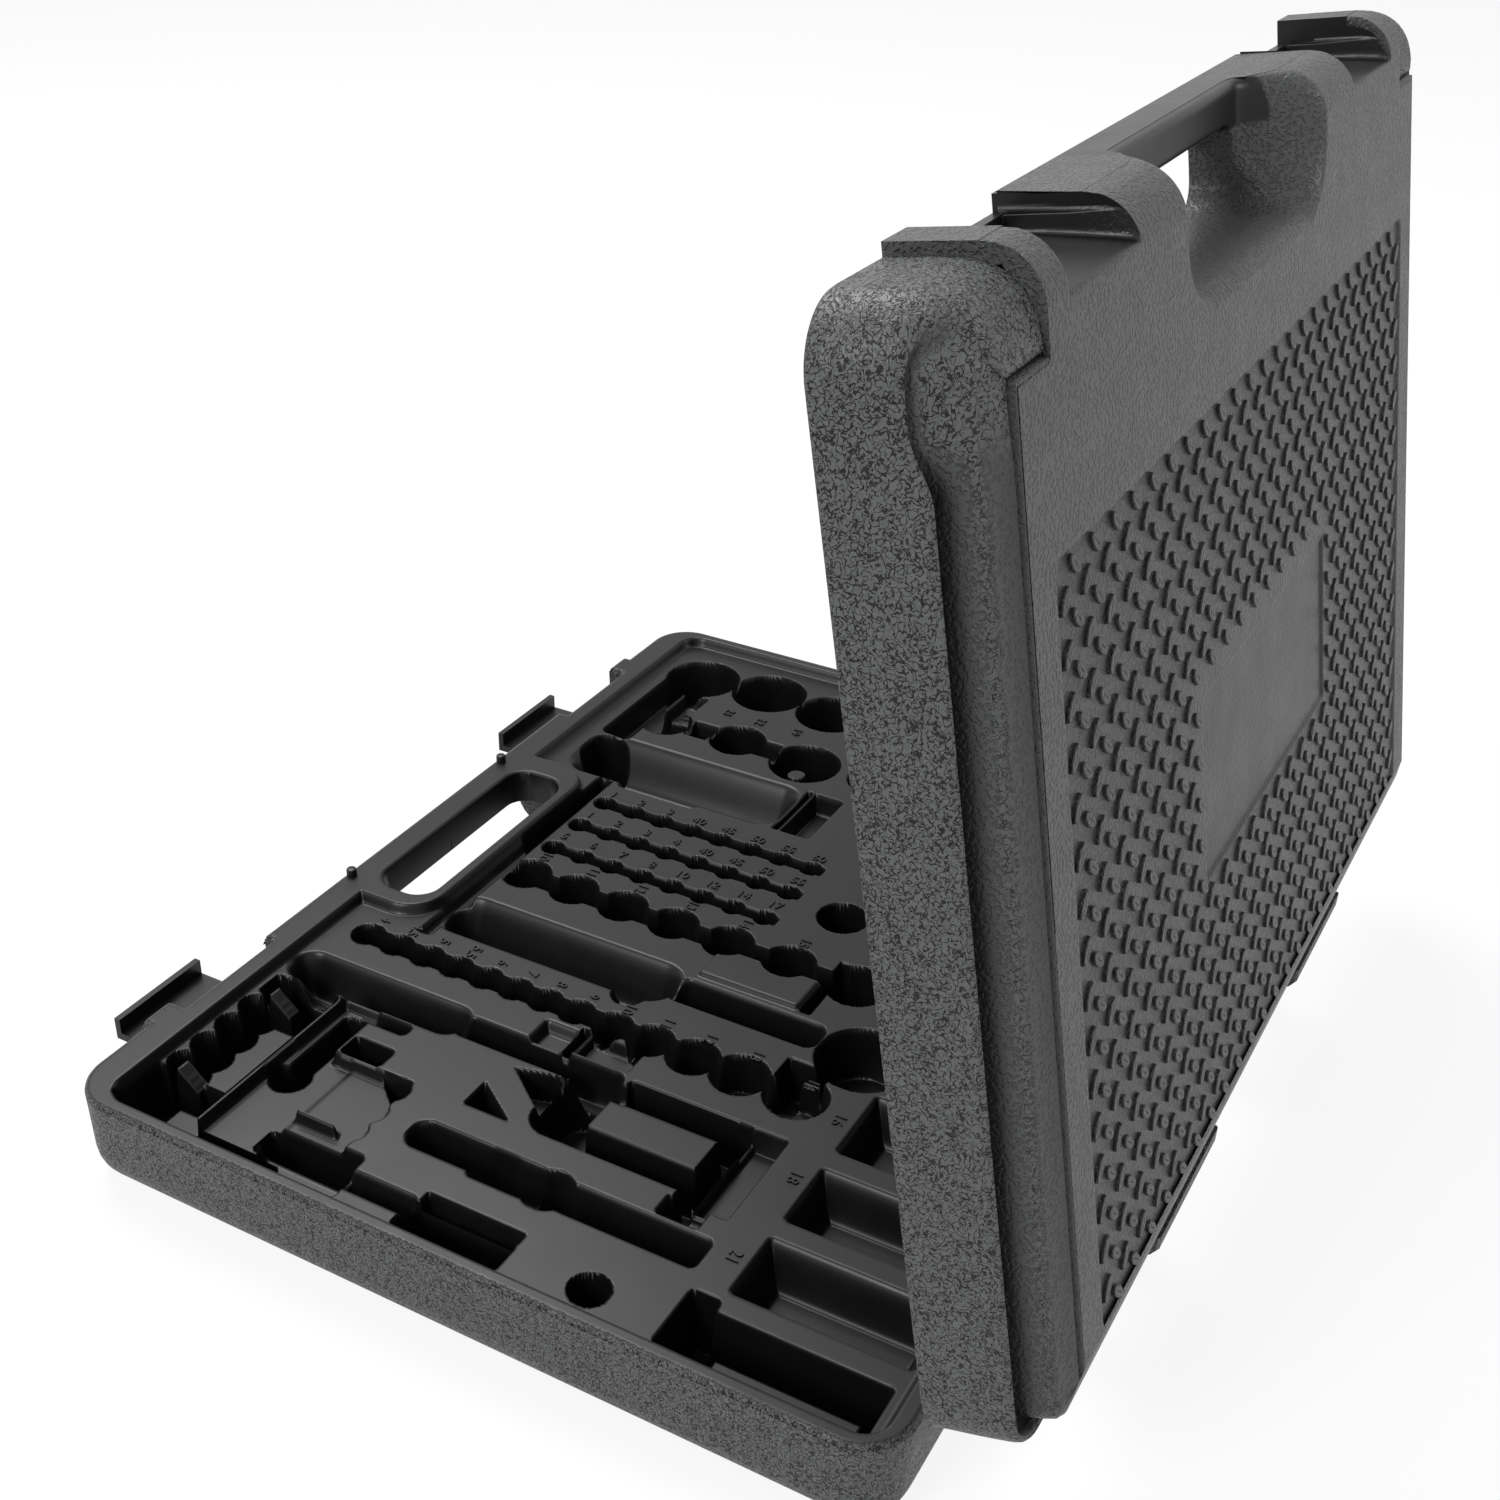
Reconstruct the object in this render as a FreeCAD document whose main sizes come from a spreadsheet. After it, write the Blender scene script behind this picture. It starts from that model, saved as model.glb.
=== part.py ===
import FreeCAD, Part
import os
import Sketcher

# Blow-moulded case for a socket wrench set: lower half with a tray of pockets, lid, two latches and steel pins.
# X runs along the hinge, the handle side is at -Y, the hinge side at +Y, and the lower half stands on z = 0.
document = FreeCAD.newDocument("case")
sheet = document.addObject("Spreadsheet::Sheet", "Sizes")

values = {
    # outside of both halves
    "case_width": 392.0,
    "case_depth": 300.0,
    "corner_round": 17.0,
    "base_height": 35.0,
    "base_chine": 10.0,
    "chine_angle": 38.0,
    "lid_wall": 25.0,
    "wall_draft": 5.0,
    "valley_inset": 6.0,
    "ridge_rise": 7.0,
    "ridge_angle": 38.0,
    "face_inset": 11.5,
    "face_rise": 4.0,
    "face_angle": 65.0,
    "front_round": 14.0,
    "front_reach": 40.0,
    "pad_length": 40.0,
    "cheek_reach": 3.0,
    "cheek_low": 11.0,
    "open_angle": 81.0,
    "seam_gap": 0.3,
    # rim and tray
    "rim_step": 4.0,
    "rim_side": 5.0,
    "rim_front": 13.0,
    "rim_back": 7.0,
    "tray_round": 9.0,
    "tray_span": 382.0,
    "tray_run": 280.0,
    "deep_floor": 7.0,
    "middle_floor": 15.0,
    "shallow_floor": 22.0,
    # handle
    "grip_length": 96.0,
    "grip_hole": 24.0,
    "grip_bar": 12.0,
    "grip_thick": 14.0,
    "hole_round": 9.0,
    "collar_wall": 5.0,
    "scoop_length": 126.0,
    "scoop_reach": 41.0,
    "scoop_round": 22.0,
    "scoop_angle": 32.0,
    "collar_round": 14.0,
    "collar_length": 118.0,
    "peg_spacing": 99.0,
    "peg_radius": 2.0,
    "peg_height": 3.0,
    "peg_play": 0.4,
    # latches
    "latch_inset": 76.0,
    "latch_bay": 46.0,
    "bay_depth": 4.5,
    "latch_width": 42.0,
    "latch_plate": 3.0,
    "latch_lip": 6.0,
    "lip_thick": 2.5,
    "pivot_height": 5.5,
    "pivot_inset": 0.5,
    "barrel_radius": 3.2,
    "barrel_gap": 0.5,
    "latch_pin_radius": 1.5,
    "pin_play": 0.05,
    "pin_bite": 4.0,
    "lug_radius": 4.5,
    "lug_width": 5.0,
    "ledge_thick": 3.0,
    "hook_play": 0.4,
    "hook_bay": 11.0,
    # hinges
    "hinge_inset": 123.0,
    "hinge_width": 57.0,
    "hinge_offset": 10.5,
    "knuckle_radius": 6.5,
    "knuckle_middle": 27.0,
    "knuckle_gap": 0.5,
    "hinge_pin_radius": 2.0,
    "foot_reach": 4.0,
    "foot_start": 12.0,
    "foot_height": 12.0,
    # inside and outside of the lid
    "lid_recess": 4.0,
    "lid_border": 16.0,
    "lid_recess_front": 44.0,
    "panel_length": 332.0,
    "panel_low": 20.0,
    "panel_high": 235.0,
    "panel_depth": 1.0,
    "plate_length": 124.0,
    "plate_low": 101.0,
    "plate_high": 157.0,
    "plate_depth": 0.8,
    # row of quarter-inch sockets
    "small_lane": 73.0,
    "small_start": -120.0,
    "small_radius": 6.2,
    "small_grow": 0.75,
    "small_web": 0.6,
    "small_slot": 8.0,
    # row of half-inch sockets
    "large_lane": 10.0,
    "large_start": -93.0,
    "large_radius": 9.9,
    "large_pitch": 22.3,
    "large_slot": 12.0,
    # rows of screwdriver bits
    "bit_lane": -48.2,
    "bit_lane_pitch": 19.0,
    "bit_start": -95.0,
    "bit_pitch": 13.6,
    "bit_radius": 4.6,
    "bit_slot": 6.0,
    # large sockets at the far side
    "wide_lane": -162.0,
    "wide_start": -116.0,
    "wide_pitch": 34.0,
    "wide_radius": 15.5,
    "second_lane": -121.0,
    "second_start": -106.0,
    "second_pitch": 32.5,
    "second_radius": 12.5,
    "pad_width": 13.0,
    "far_shelf_start": -129.0,
    "far_shelf_end": -114.0,
    # ratchets
    "ratchet_lane": 44.0,
    "ratchet_end": -108.6,
    "ratchet_grip": 25.0,
    "ratchet_grip_end": -4.0,
    "ratchet_neck": 11.0,
    "ratchet_head": 66.0,
    "ratchet_head_radius": 18.0,
    "little_lane": 98.5,
    "little_end": -135.5,
    "little_grip": 17.8,
    "little_grip_end": -56.0,
    "little_neck": 11.6,
    "little_head": -9.0,
    # troughs for bars and the joint
    "bar_lane": 150.0,
    "bar_width": 14.0,
    "bar_start": -42.0,
    "bar_end": 68.0,
    "bar_foot": -16.0,
    "bar_foot_width": 16.0,
    "bar_ball": 11.5,
    "bar_ball_radius": 9.2,
    "sliding_lane": -82.0,
    "sliding_width": 31.0,
    "sliding_start": -128.0,
    "sliding_end": -27.0,
    "sliding_scallop_start": -99.0,
    "sliding_scallop_end": -61.0,
    "long_bar_line": 112.0,
    "long_bar_width": 20.0,
    "long_bar_start": -98.0,
    "long_bar_end": 56.0,
    # forked pocket with two fingers
    "fork_left": 94.0,
    "fork_right": 141.0,
    "fork_top": 66.0,
    "fork_shelf": 48.0,
    "fork_low": 4.0,
    "fork_island": 106.0,
    "island_width": 15.0,
    "fork_finger": 10.0,
    # deep sockets at the hinge side
    "deep_left": 64.5,
    "deep_start": 80.5,
    "deep_end": 139.0,
    "deep_last": 188.6,
    "deep_rail": 7.0,
    "deep_width": 27.6,
    "window_width": 10.0,
    "window_start": 98.0,
    "window_end": 126.0,
    # pockets along the near wall
    "wall_lane": 180.0,
    "wall_width": 15.0,
    "wall_start": -22.0,
    "wall_end": 17.0,
    "wall_low_start": -86.0,
    "wall_low_end": -46.0,
    "wall_reach": 8.6,
    "wall_hole": 45.5,
    "wall_hole_radius": 6.5,
    # pockets in the near front corner
    "corner_left": 131.6,
    "corner_right": 161.0,
    "corner_start": -84.0,
    "corner_end": -55.0,
    "key_left": 115.0,
    "key_right": 150.0,
    "key_line": -92.0,
    "key_width": 11.0,
    "key_radius": 7.0,
    "key_shelf_end": 185.0,
    "front_left": 109.0,
    "front_right": 188.6,
    "front_start": -135.5,
    "front_end": -101.0,
    "clip_first": 121.0,
    "clip_second": 166.0,
    "clip_width": 7.0,
    "clip_length": 18.0,
    # stud, round hole and finger channel
    "stud_lane": -112.0,
    "stud_line": -38.0,
    "stud_radius": 5.0,
    "stud_pocket": 15.0,
    "round_lane": -24.0,
    "round_line": 27.0,
    "round_radius": 10.0,
    "channel_left": -68.0,
    "channel_right": 58.0,
    "channel_width": 7.0,
}

row = 1
for name, number in values.items():
    sheet.set("A%d" % row, name.replace("_", " "))
    sheet.set("B%d" % row, repr(number))
    sheet.setAlias("B%d" % row, name)
    row += 1
document.recompute()


def size(text):
    # turns the words of a formula into references to the sheet
    parts = []
    for word in text.replace("(", " ( ").replace(")", " ) ").split():
        parts.append("<<Sizes>>." + word if word in values else word)
    return " ".join(parts).replace("cos (", "cos(").replace("sin (", "sin(")


def bind(item, **formulas):
    for key, text in formulas.items():
        item.setExpression(key.replace("__", "."), size(text))
    return item


def place(item, across, along, height):
    item.setExpression("Placement.Base.x", size(across))
    item.setExpression("Placement.Base.y", size(along))
    item.setExpression("Placement.Base.z", size(height))
    return item


def block(name, left, right, front, back, low, high):
    item = document.addObject("Part::Box", name)
    bind(item, Length="( %s ) - ( %s )" % (right, left))
    bind(item, Width="( %s ) - ( %s )" % (back, front))
    bind(item, Height="( %s ) - ( %s )" % (high, low))
    return place(item, left, front, low)


def post(name, across, along, radius, low, high):
    item = document.addObject("Part::Cylinder", name)
    bind(item, Radius=radius, Height="( %s ) - ( %s )" % (high, low))
    return place(item, across, along, low)


def rod(name, left, right, along, height, radius):
    # a cylinder lying along X
    item = document.addObject("Part::Cylinder", name)
    item.Placement.Rotation = FreeCAD.Rotation(FreeCAD.Vector(0, 1, 0), 90)
    bind(item, Radius=radius, Height="( %s ) - ( %s )" % (right, left))
    return place(item, left, along, height)


def join(name, items):
    item = document.addObject("Part::MultiFuse", name)
    item.Shapes = items
    return item


def cut(name, body, tool):
    item = document.addObject("Part::Cut", name)
    item.Base = body
    item.Tool = tool
    return item


def rounded(name, length, width, radius, middle, height):
    # a rectangle with four rounded corners on a level plane, its middle at y = middle
    sketch = document.addObject("Sketcher::SketchObject", name)
    half = (100.0, 80.0)
    turn = 20.0
    vector = FreeCAD.Vector
    inner = (half[0] - turn, half[1] - turn)
    ends = [
        (vector(-inner[0], -half[1], 0), vector(inner[0], -half[1], 0)),
        (vector(half[0], -inner[1], 0), vector(half[0], inner[1], 0)),
        (vector(inner[0], half[1], 0), vector(-inner[0], half[1], 0)),
        (vector(-half[0], inner[1], 0), vector(-half[0], -inner[1], 0)),
    ]
    for first, second in ends:
        sketch.addGeometry(Part.LineSegment(first, second))
    centres = [(1, -1, 270), (1, 1, 0), (-1, 1, 90), (-1, -1, 180)]
    for across, along, start in centres:
        circle = Part.Circle(vector(across * inner[0], along * inner[1], 0), vector(0, 0, 1), turn)
        begin = start * 3.141592653589793 / 180.0
        sketch.addGeometry(Part.ArcOfCircle(circle, begin, begin + 3.141592653589793 / 2.0))
    for side in range(4):
        sketch.addConstraint(Sketcher.Constraint("Tangent", side, 2, 4 + side, 1))
        sketch.addConstraint(Sketcher.Constraint("Tangent", 4 + side, 2, (side + 1) % 4, 1))
    for side in (0, 2):
        sketch.addConstraint(Sketcher.Constraint("Horizontal", side))
    for side in (1, 3):
        sketch.addConstraint(Sketcher.Constraint("Vertical", side))
    for side in (5, 6, 7):
        sketch.addConstraint(Sketcher.Constraint("Equal", 4, side))
    bound = [
        (Sketcher.Constraint("Radius", 4, turn), radius),
        (Sketcher.Constraint("DistanceX", -1, 1, 1, 1, half[0]), "( %s ) / 2" % length),
        (Sketcher.Constraint("DistanceX", 3, 1, -1, 1, half[0]), "( %s ) / 2" % length),
        (Sketcher.Constraint("DistanceY", -1, 1, 2, 1, half[1]), "( %s ) / 2" % width),
        (Sketcher.Constraint("DistanceY", 0, 1, -1, 1, half[1]), "( %s ) / 2" % width),
    ]
    for constraint, formula in bound:
        index = sketch.addConstraint(constraint)
        sketch.setExpression("Constraints[%d]" % index, size(formula))
    return place(sketch, "0", middle, height)


def raised(name, sketch, up, down, taper_up="0", taper_down="0"):
    # the sketch pushed up or down out of its plane, drawn in by the taper
    item = document.addObject("Part::Extrusion", name)
    item.Base = sketch
    item.DirMode = "Custom"
    item.Dir = FreeCAD.Vector(0, 0, 1)
    item.Solid = True
    bind(item, LengthFwd=up, LengthRev=down)
    if taper_up != "0":
        bind(item, TaperAngle="0 - %s" % taper_up)
    if taper_down != "0":
        bind(item, TaperAngleRev="0 - %s" % taper_down)
    return item


tray_top = "( base_height - rim_step )"
front_face = "( 0 - case_depth / 2 )"
back_face = "( case_depth / 2 )"
near_inside = "( case_width / 2 - rim_side )"
front_inside = "( rim_front - case_depth / 2 )"
back_inside = "( case_depth / 2 - rim_back )"
above_rim = "( base_height + 1 )"
pivot_line = "( pivot_inset - case_depth / 2 )"
hinge_line = "( case_depth / 2 + hinge_offset )"
hole_front = "( grip_bar - case_depth / 2 )"
hole_back = "( grip_bar + grip_hole - case_depth / 2 )"

block_left = "( pad_length - case_width / 2 )"
block_right = "( case_width / 2 - pad_length )"

# Lower half: a straight band above a drawn-in foot
rim_outline = rounded("rim_outline", "case_width", "case_depth", "corner_round", "0", "base_chine")
base_band = raised("base_band", rim_outline, "base_height - base_chine", "0")
base_foot = raised("base_foot", rim_outline, "0", "base_chine", "0", "chine_angle")
base_solids = [base_band, base_foot]
base_cuts = []

# Tray recess inside the rim, leaving a collar round the handle hole
recess_outline = rounded(
    "recess_outline",
    "case_width - 2 * rim_side",
    "case_depth - rim_front - rim_back",
    "tray_round",
    "( rim_front - rim_back ) / 2",
    tray_top,
)
recess_full = raised("recess_full", recess_outline, "rim_step + 1", "0")
collar_reach = "( %s + collar_wall )" % hole_back
collar_outline = rounded("collar_outline", "collar_length", "2 * ( grip_bar + grip_hole + collar_wall )",
                         "collar_round", front_face, "0")
collar = raised("collar", collar_outline, "base_height + 2", "0")
base_cuts.append(cut("tray_recess", recess_full, collar))

# Handle hole with rounded ends, and the hand scoop under the grip bar
hole_outline = rounded("hole_outline", "grip_length", "grip_hole", "hole_round",
                       "grip_bar + grip_hole / 2 - case_depth / 2", "0 - 1")
base_cuts.append(raised("grip_hole_cut", hole_outline, "base_height + 3", "0"))
base_cuts.append(block("base_scoop", "0 - scoop_length / 2", "scoop_length / 2", "%s - 1" % front_face,
                       "%s" % hole_back, "0 - 1", "base_height - grip_thick"))


def across(text):
    # a place in the tray along X, which keeps its share of the width inside the rim
    return "( %s ) * ( case_width - 2 * rim_side ) / tray_span" % text


def along(text):
    # a place in the tray along Y, which keeps its share of the depth inside the rim
    return "( %s ) * ( case_depth - rim_front - rim_back ) / tray_run" % text


def pocket(name, left, right, front, back, floor):
    base_cuts.append(block(name, across(left), across(right), along(front), along(back), floor, above_rim))


def well(name, lane, line, radius, floor):
    base_cuts.append(post(name, across(lane), along(line), radius, floor, above_rim))


def trough(name, lane, width, start, end, floor):
    # a flat-bottomed trough along Y
    half = "( %s ) / 2" % width
    base_cuts.append(block(name, "%s - %s" % (across(lane), half), "%s + %s" % (across(lane), half),
                           along(start), along(end), floor, above_rim))


def cradle(name, lane, width, start, end):
    # a trough with a half-round floor and a round end at the start
    radius = "( %s ) / 2" % width
    item = document.addObject("Part::Cylinder", name)
    item.Placement.Rotation = FreeCAD.Rotation(FreeCAD.Vector(1, 0, 0), -90)
    first = "( %s + %s )" % (along(start), radius)
    bind(item, Radius=radius, Height="%s - %s" % (along(end), first))
    place(item, across(lane), first, tray_top)
    base_cuts.append(item)
    base_cuts.append(post(name + "_end", across(lane), first, radius, "%s - %s * 0.7" % (tray_top, radius), above_rim))


# Row of quarter-inch sockets: eight of one size, then five growing ones, joined by a finger slot
small_sockets = []
centre = "small_start"
reach = "small_radius"
grown = 0
for number in range(13):
    small_sockets.append((centre, reach))
    grown = max(0, number - 6)
    following = "( small_radius + small_grow * %d )" % grown
    centre = "%s + %s + %s + small_web" % (centre, reach, following)
    reach = following
for number, (centre, reach) in enumerate(small_sockets):
    well("small_%d" % number, "small_lane", centre, reach, "middle_floor")
trough("small_join", "small_lane", "small_slot", "small_start", small_sockets[-1][0], "middle_floor")

# Row of half-inch sockets
for number in range(9):
    well("large_%d" % number, "large_lane", "large_start + large_pitch * %d" % number, "large_radius", "deep_floor")
trough("large_join", "large_lane", "large_slot", "large_start", "large_start + large_pitch * 8", "deep_floor")

# Three rows of six-sided bits, each row joined by a finger slot
for line in range(3):
    lane = "bit_lane + bit_lane_pitch * %d" % line
    for number in range(8):
        bit = document.addObject("Part::Prism", "bit_%d_%d" % (line, number))
        bit.Polygon = 6
        bind(bit, Circumradius="bit_radius", Height="%s - middle_floor" % above_rim)
        place(bit, across(lane), along("bit_start + bit_pitch * %d" % number), "middle_floor")
        base_cuts.append(bit)
    trough("bit_join_%d" % line, lane, "bit_slot", "bit_start", "bit_start + bit_pitch * 7 + 5", "middle_floor")

# Two rows of large sockets at the far side, with pads let down between them
for number in range(6):
    well("wide_%d" % number, "wide_lane", "wide_start + wide_pitch * %d" % number, "wide_radius", "deep_floor")
for number in (0, 1, 3, 4, 5):
    well("second_%d" % number, "second_lane", "second_start + second_pitch * %d" % number, "second_radius",
         "deep_floor")
trough("second_pads", "second_lane", "pad_width", "second_start", "second_start + second_pitch", "shallow_floor")
pocket("far_shelf", "wide_lane", "sliding_lane - sliding_width / 2 - 1", "far_shelf_start", "far_shelf_end",
       "shallow_floor - 3")

# Large ratchet: half-round grip, straight neck and round head
cradle("ratchet_grip_cut", "ratchet_lane", "ratchet_grip", "ratchet_end", "ratchet_grip_end")
trough("ratchet_neck_cut", "ratchet_lane", "ratchet_neck", "ratchet_grip_end - 5", "ratchet_head", "middle_floor")
well("ratchet_head_cut", "ratchet_lane", "ratchet_head", "ratchet_head_radius", "deep_floor")

# Small ratchet: grip, neck and a rounded head pocket beside a sloping corner
cradle("little_grip_cut", "little_lane", "little_grip", "little_end", "little_grip_end")
trough("little_neck_cut", "little_lane", "little_neck", "little_grip_end - 5", "little_head", "middle_floor + 1")
pocket("little_head_cut", "little_lane + 2", "fork_island + island_width + fork_finger", "little_head - 4",
       "fork_low + 2", "deep_floor + 2")

# Extension bar with a thicker foot and a ball, sliding bar and long bar
trough("bar_cut", "bar_lane", "bar_width", "bar_start", "bar_end", "middle_floor")
trough("bar_foot_cut", "bar_lane", "bar_foot_width", "bar_foot", "bar_ball", "middle_floor")
well("bar_ball_cut", "bar_lane", "bar_ball", "bar_ball_radius", "middle_floor - 2")
cradle("sliding_cut", "sliding_lane", "sliding_width", "sliding_start", "sliding_end")
pocket("sliding_side", "sliding_lane + sliding_width / 2 - 3", "sliding_lane + sliding_width / 2 + 4",
       "sliding_scallop_start", "sliding_scallop_end", "middle_floor")
pocket("sliding_rest", "sliding_lane - sliding_width / 2", "sliding_lane + sliding_width / 2", "sliding_end + 3",
       "sliding_end + 16", "shallow_floor")
pocket("long_bar_cut", "long_bar_start", "long_bar_end", "long_bar_line - long_bar_width / 2",
       "long_bar_line + long_bar_width / 2", "middle_floor")

# Forked pocket: a shelf across the top and two fingers round an island
pocket("fork_shelf_cut", "fork_left", "fork_right - 6", "fork_shelf + 5", "fork_top", "shallow_floor")
pocket("fork_step_cut", "fork_right - 7", "fork_right + 2.5", "fork_shelf - 2", "fork_top - 6", "shallow_floor + 2")
pocket("fork_cross_cut", "fork_left", "fork_right", "fork_shelf - 1", "fork_shelf + 6", "deep_floor + 4")
pocket("fork_left_cut", "fork_left", "fork_island", "fork_low + 3", "fork_shelf", "deep_floor + 4")
pocket("fork_right_cut", "fork_island + island_width", "fork_island + island_width + fork_finger",
       "fork_low - 5", "fork_shelf", "deep_floor + 4")

# Deep sockets lie along Y at the hinge side, parted by rails, with a window in each floor
for number in range(4):
    left = "deep_left + ( deep_width + deep_rail ) * %d" % number
    right = "%s + deep_width" % left if number < 3 else "deep_last"
    pocket("deep_%d" % number, left, right, "deep_start", "deep_end", "deep_floor + 4")
    if number > 0:
        pocket("window_%d" % number, "%s - window_width" % right, right, "window_start", "window_end", "deep_floor - 3")
pocket("deep_foot", "deep_last - 24", "deep_last", "deep_start - 10", "deep_start + 1", "deep_floor + 1")

# Pockets along the near wall and a round hole in the flat plate between them
pocket("wall_cut", "wall_lane - wall_width / 3", "wall_lane + wall_reach", "wall_start", "wall_end", "deep_floor + 1")
pocket("wall_step_cut", "wall_lane - wall_width / 3 - 4.5", "wall_lane", "wall_start + 2", "wall_end",
       "shallow_floor")
pocket("wall_middle_cut", "wall_lane - 6", "wall_lane + 3.5", "wall_low_end", "wall_start + 1", "shallow_floor - 1")
pocket("wall_low_cut", "wall_lane - 12.5", "wall_lane + 0.5", "wall_low_start", "wall_low_end", "middle_floor - 3")
well("wall_hole_cut", "wall_lane", "wall_hole", "wall_hole_radius", "deep_floor")

# Near front corner: shallow shelf, its deep slot, keyhole and the clip pocket
pocket("corner_cut", "corner_left", "corner_right", "corner_start", "corner_end", "shallow_floor - 2")
pocket("corner_slot", "corner_left - 10", "corner_left + 0.5", "corner_start - 3", "corner_end - 14", "deep_floor + 2")
pocket("corner_side", "key_left - 7.5", "key_left", "corner_start - 15", "corner_end - 16", "middle_floor + 4")
pocket("key_cut", "key_left", "key_right", "key_line - key_width / 2", "key_line + key_width / 2", "deep_floor")
well("key_end_cut", "key_right", "key_line", "key_radius", "deep_floor")
pocket("key_shelf", "key_right - 2", "key_shelf_end", "key_line - 10", "key_line + 7", "shallow_floor - 2")
pocket("front_cut", "front_left", "front_right", "front_start", "front_end", "deep_floor + 2")

# Stud pocket, round hole and the finger channel behind the handle
well("stud_cut", "stud_lane - 6", "stud_line", "stud_pocket", "deep_floor")
well("round_cut", "round_lane", "round_line", "round_radius", "deep_floor")
channel_front = "( %s + 1 )" % collar_reach
base_cuts.append(block("channel_cut", across("channel_left"), across("channel_right"), channel_front,
                       "%s + channel_width" % channel_front, "middle_floor", above_rim))

# Latch bays in the front wall, with lugs that carry the pins
latch_middle = {"right": "( case_width / 2 - latch_inset )", "left": "( latch_inset - case_width / 2 )"}
for side, middle in latch_middle.items():
    left = "%s - latch_bay / 2" % middle
    right = "%s + latch_bay / 2" % middle
    lugs = []
    for end, outer in (("low", "%s - lug_width" % left), ("high", right)):
        lug_name = "lug_%s_%s" % (side, end)
        lugs.append(rod(lug_name, outer, "%s + lug_width" % outer, pivot_line, "pivot_height", "lug_radius"))
        lugs.append(block(lug_name + "_web", outer, "%s + lug_width" % outer, pivot_line,
                          "%s + 12" % pivot_line, "pivot_height - lug_radius", "pivot_height + lug_radius"))
    base_solids.extend(lugs)
    cheek_left, cheek_right = (right, block_right) if side == "right" else (block_left, left)
    base_solids.append(block("base_cheek_" + side, cheek_left, cheek_right, "%s - cheek_reach" % front_face,
                             "%s + 10" % front_face, "cheek_low", "base_height"))
    base_cuts.append(block("base_bay_" + side, left, right, "%s - 6" % front_face,
                           "%s + bay_depth" % front_face, "0 - 1", above_rim))
    base_cuts.append(rod("latch_bore_" + side, "%s - pin_bite" % left, "%s + pin_bite" % right,
                         pivot_line, "pivot_height", "latch_pin_radius"))

# Hinge knuckles: two on the lower half and one on the lid at each hinge
hinge_middle = {"right": "( case_width / 2 - hinge_inset )", "left": "( hinge_inset - case_width / 2 )"}
lid_solids = []
lid_cuts = []
for side, middle in hinge_middle.items():
    edge = "( hinge_width / 2 )"
    inner = "( knuckle_middle / 2 + knuckle_gap )"
    for end, left, right in (
        ("low", "%s - %s" % (middle, edge), "%s - %s" % (middle, inner)),
        ("high", "%s + %s" % (middle, inner), "%s + %s" % (middle, edge)),
    ):
        knuckle = "knuckle_%s_%s" % (side, end)
        base_solids.append(rod(knuckle, left, right, hinge_line, "base_height", "knuckle_radius"))
        base_solids.append(block(knuckle + "_arm", left, right, "%s - 4" % back_face, hinge_line,
                                 "base_height - knuckle_radius", "base_height"))
    base_cuts.append(rod("base_hinge_bore_" + side, "%s - %s" % (middle, edge), "%s + %s" % (middle, edge),
                         hinge_line, "base_height", "hinge_pin_radius"))
    left = "%s - knuckle_middle / 2" % middle
    right = "%s + knuckle_middle / 2" % middle
    lid_solids.append(rod("lid_knuckle_" + side, left, right, hinge_line, "base_height", "knuckle_radius"))
    lid_solids.append(block("lid_arm_" + side, left, right, "%s - 4" % back_face, hinge_line,
                            "base_height + seam_gap", "base_height + knuckle_radius"))
    lid_solids.append(block("lid_foot_" + side, "%s - %s" % (middle, edge), "%s + %s" % (middle, edge),
                            "%s - 16" % back_face, "%s + foot_reach" % back_face,
                            "base_height + foot_start", "base_height + foot_start + foot_height"))
    lid_cuts.append(rod("lid_bore_" + side, "%s - 1" % left, "%s + 1" % right, hinge_line,
                        "base_height", "hinge_pin_radius + pin_play"))

# Clips, stud and locating pegs stand up again inside the finished pockets
base_raised = []
for number, lane in enumerate(("clip_first", "clip_second")):
    middle = across(lane)
    base_raised.append(block("clip_%d" % number, "%s - clip_width / 2" % middle, "%s + clip_width / 2" % middle,
                             along("front_start + 4"), along("front_start + 4 + clip_length"), "deep_floor - 1",
                             tray_top + " - 6"))
base_raised.append(block("front_ledge", across("clip_first + 11"), across("clip_second + 1"), along("front_end - 14"),
                         along("front_end + 1"), "deep_floor - 1", "shallow_floor - 1"))
base_raised.append(post("stud", across("stud_lane"), along("stud_line"), "stud_radius", "deep_floor - 1",
                        tray_top + " - 2"))
for number, turn in enumerate((1, -1)):
    base_raised.append(post("peg_%d" % number, "peg_spacing / 2 * %d" % turn,
                            "%s + peg_radius + 0.5" % front_face, "peg_radius",
                            "base_height - 1", "base_height + peg_height"))

base_body = join("base_body", base_solids)
base_holes = join("base_holes", base_cuts)
base_open = cut("base_open", base_body, base_holes)
base_shell = join("base_shell", [base_open] + base_raised)

# Lid, drawn shut on the lower half and then swung open about the hinge
lid_low = "( base_height + seam_gap )"
lid_outline = rounded("lid_outline", "case_width", "case_depth", "corner_round", "0",
                      lid_low)
lid_solids.append(raised("lid_band", lid_outline, "lid_wall", "0", "wall_draft"))
valley_outline = rounded("valley_outline", "case_width - 2 * valley_inset", "case_depth - 2 * valley_inset",
                         "corner_round - valley_inset", "0", "%s + lid_wall - 1" % lid_low)
lid_solids.append(raised("lid_ridge", valley_outline, "ridge_rise + 1", "0", "ridge_angle"))
face_outline = rounded("face_outline", "case_width - 2 * face_inset", "case_depth - 2 * face_inset",
                       "corner_round", "0", "%s + lid_wall + ridge_rise" % lid_low)
lid_solids.append(raised("lid_face_rise", face_outline, "face_rise", "1", "face_angle"))

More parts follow.
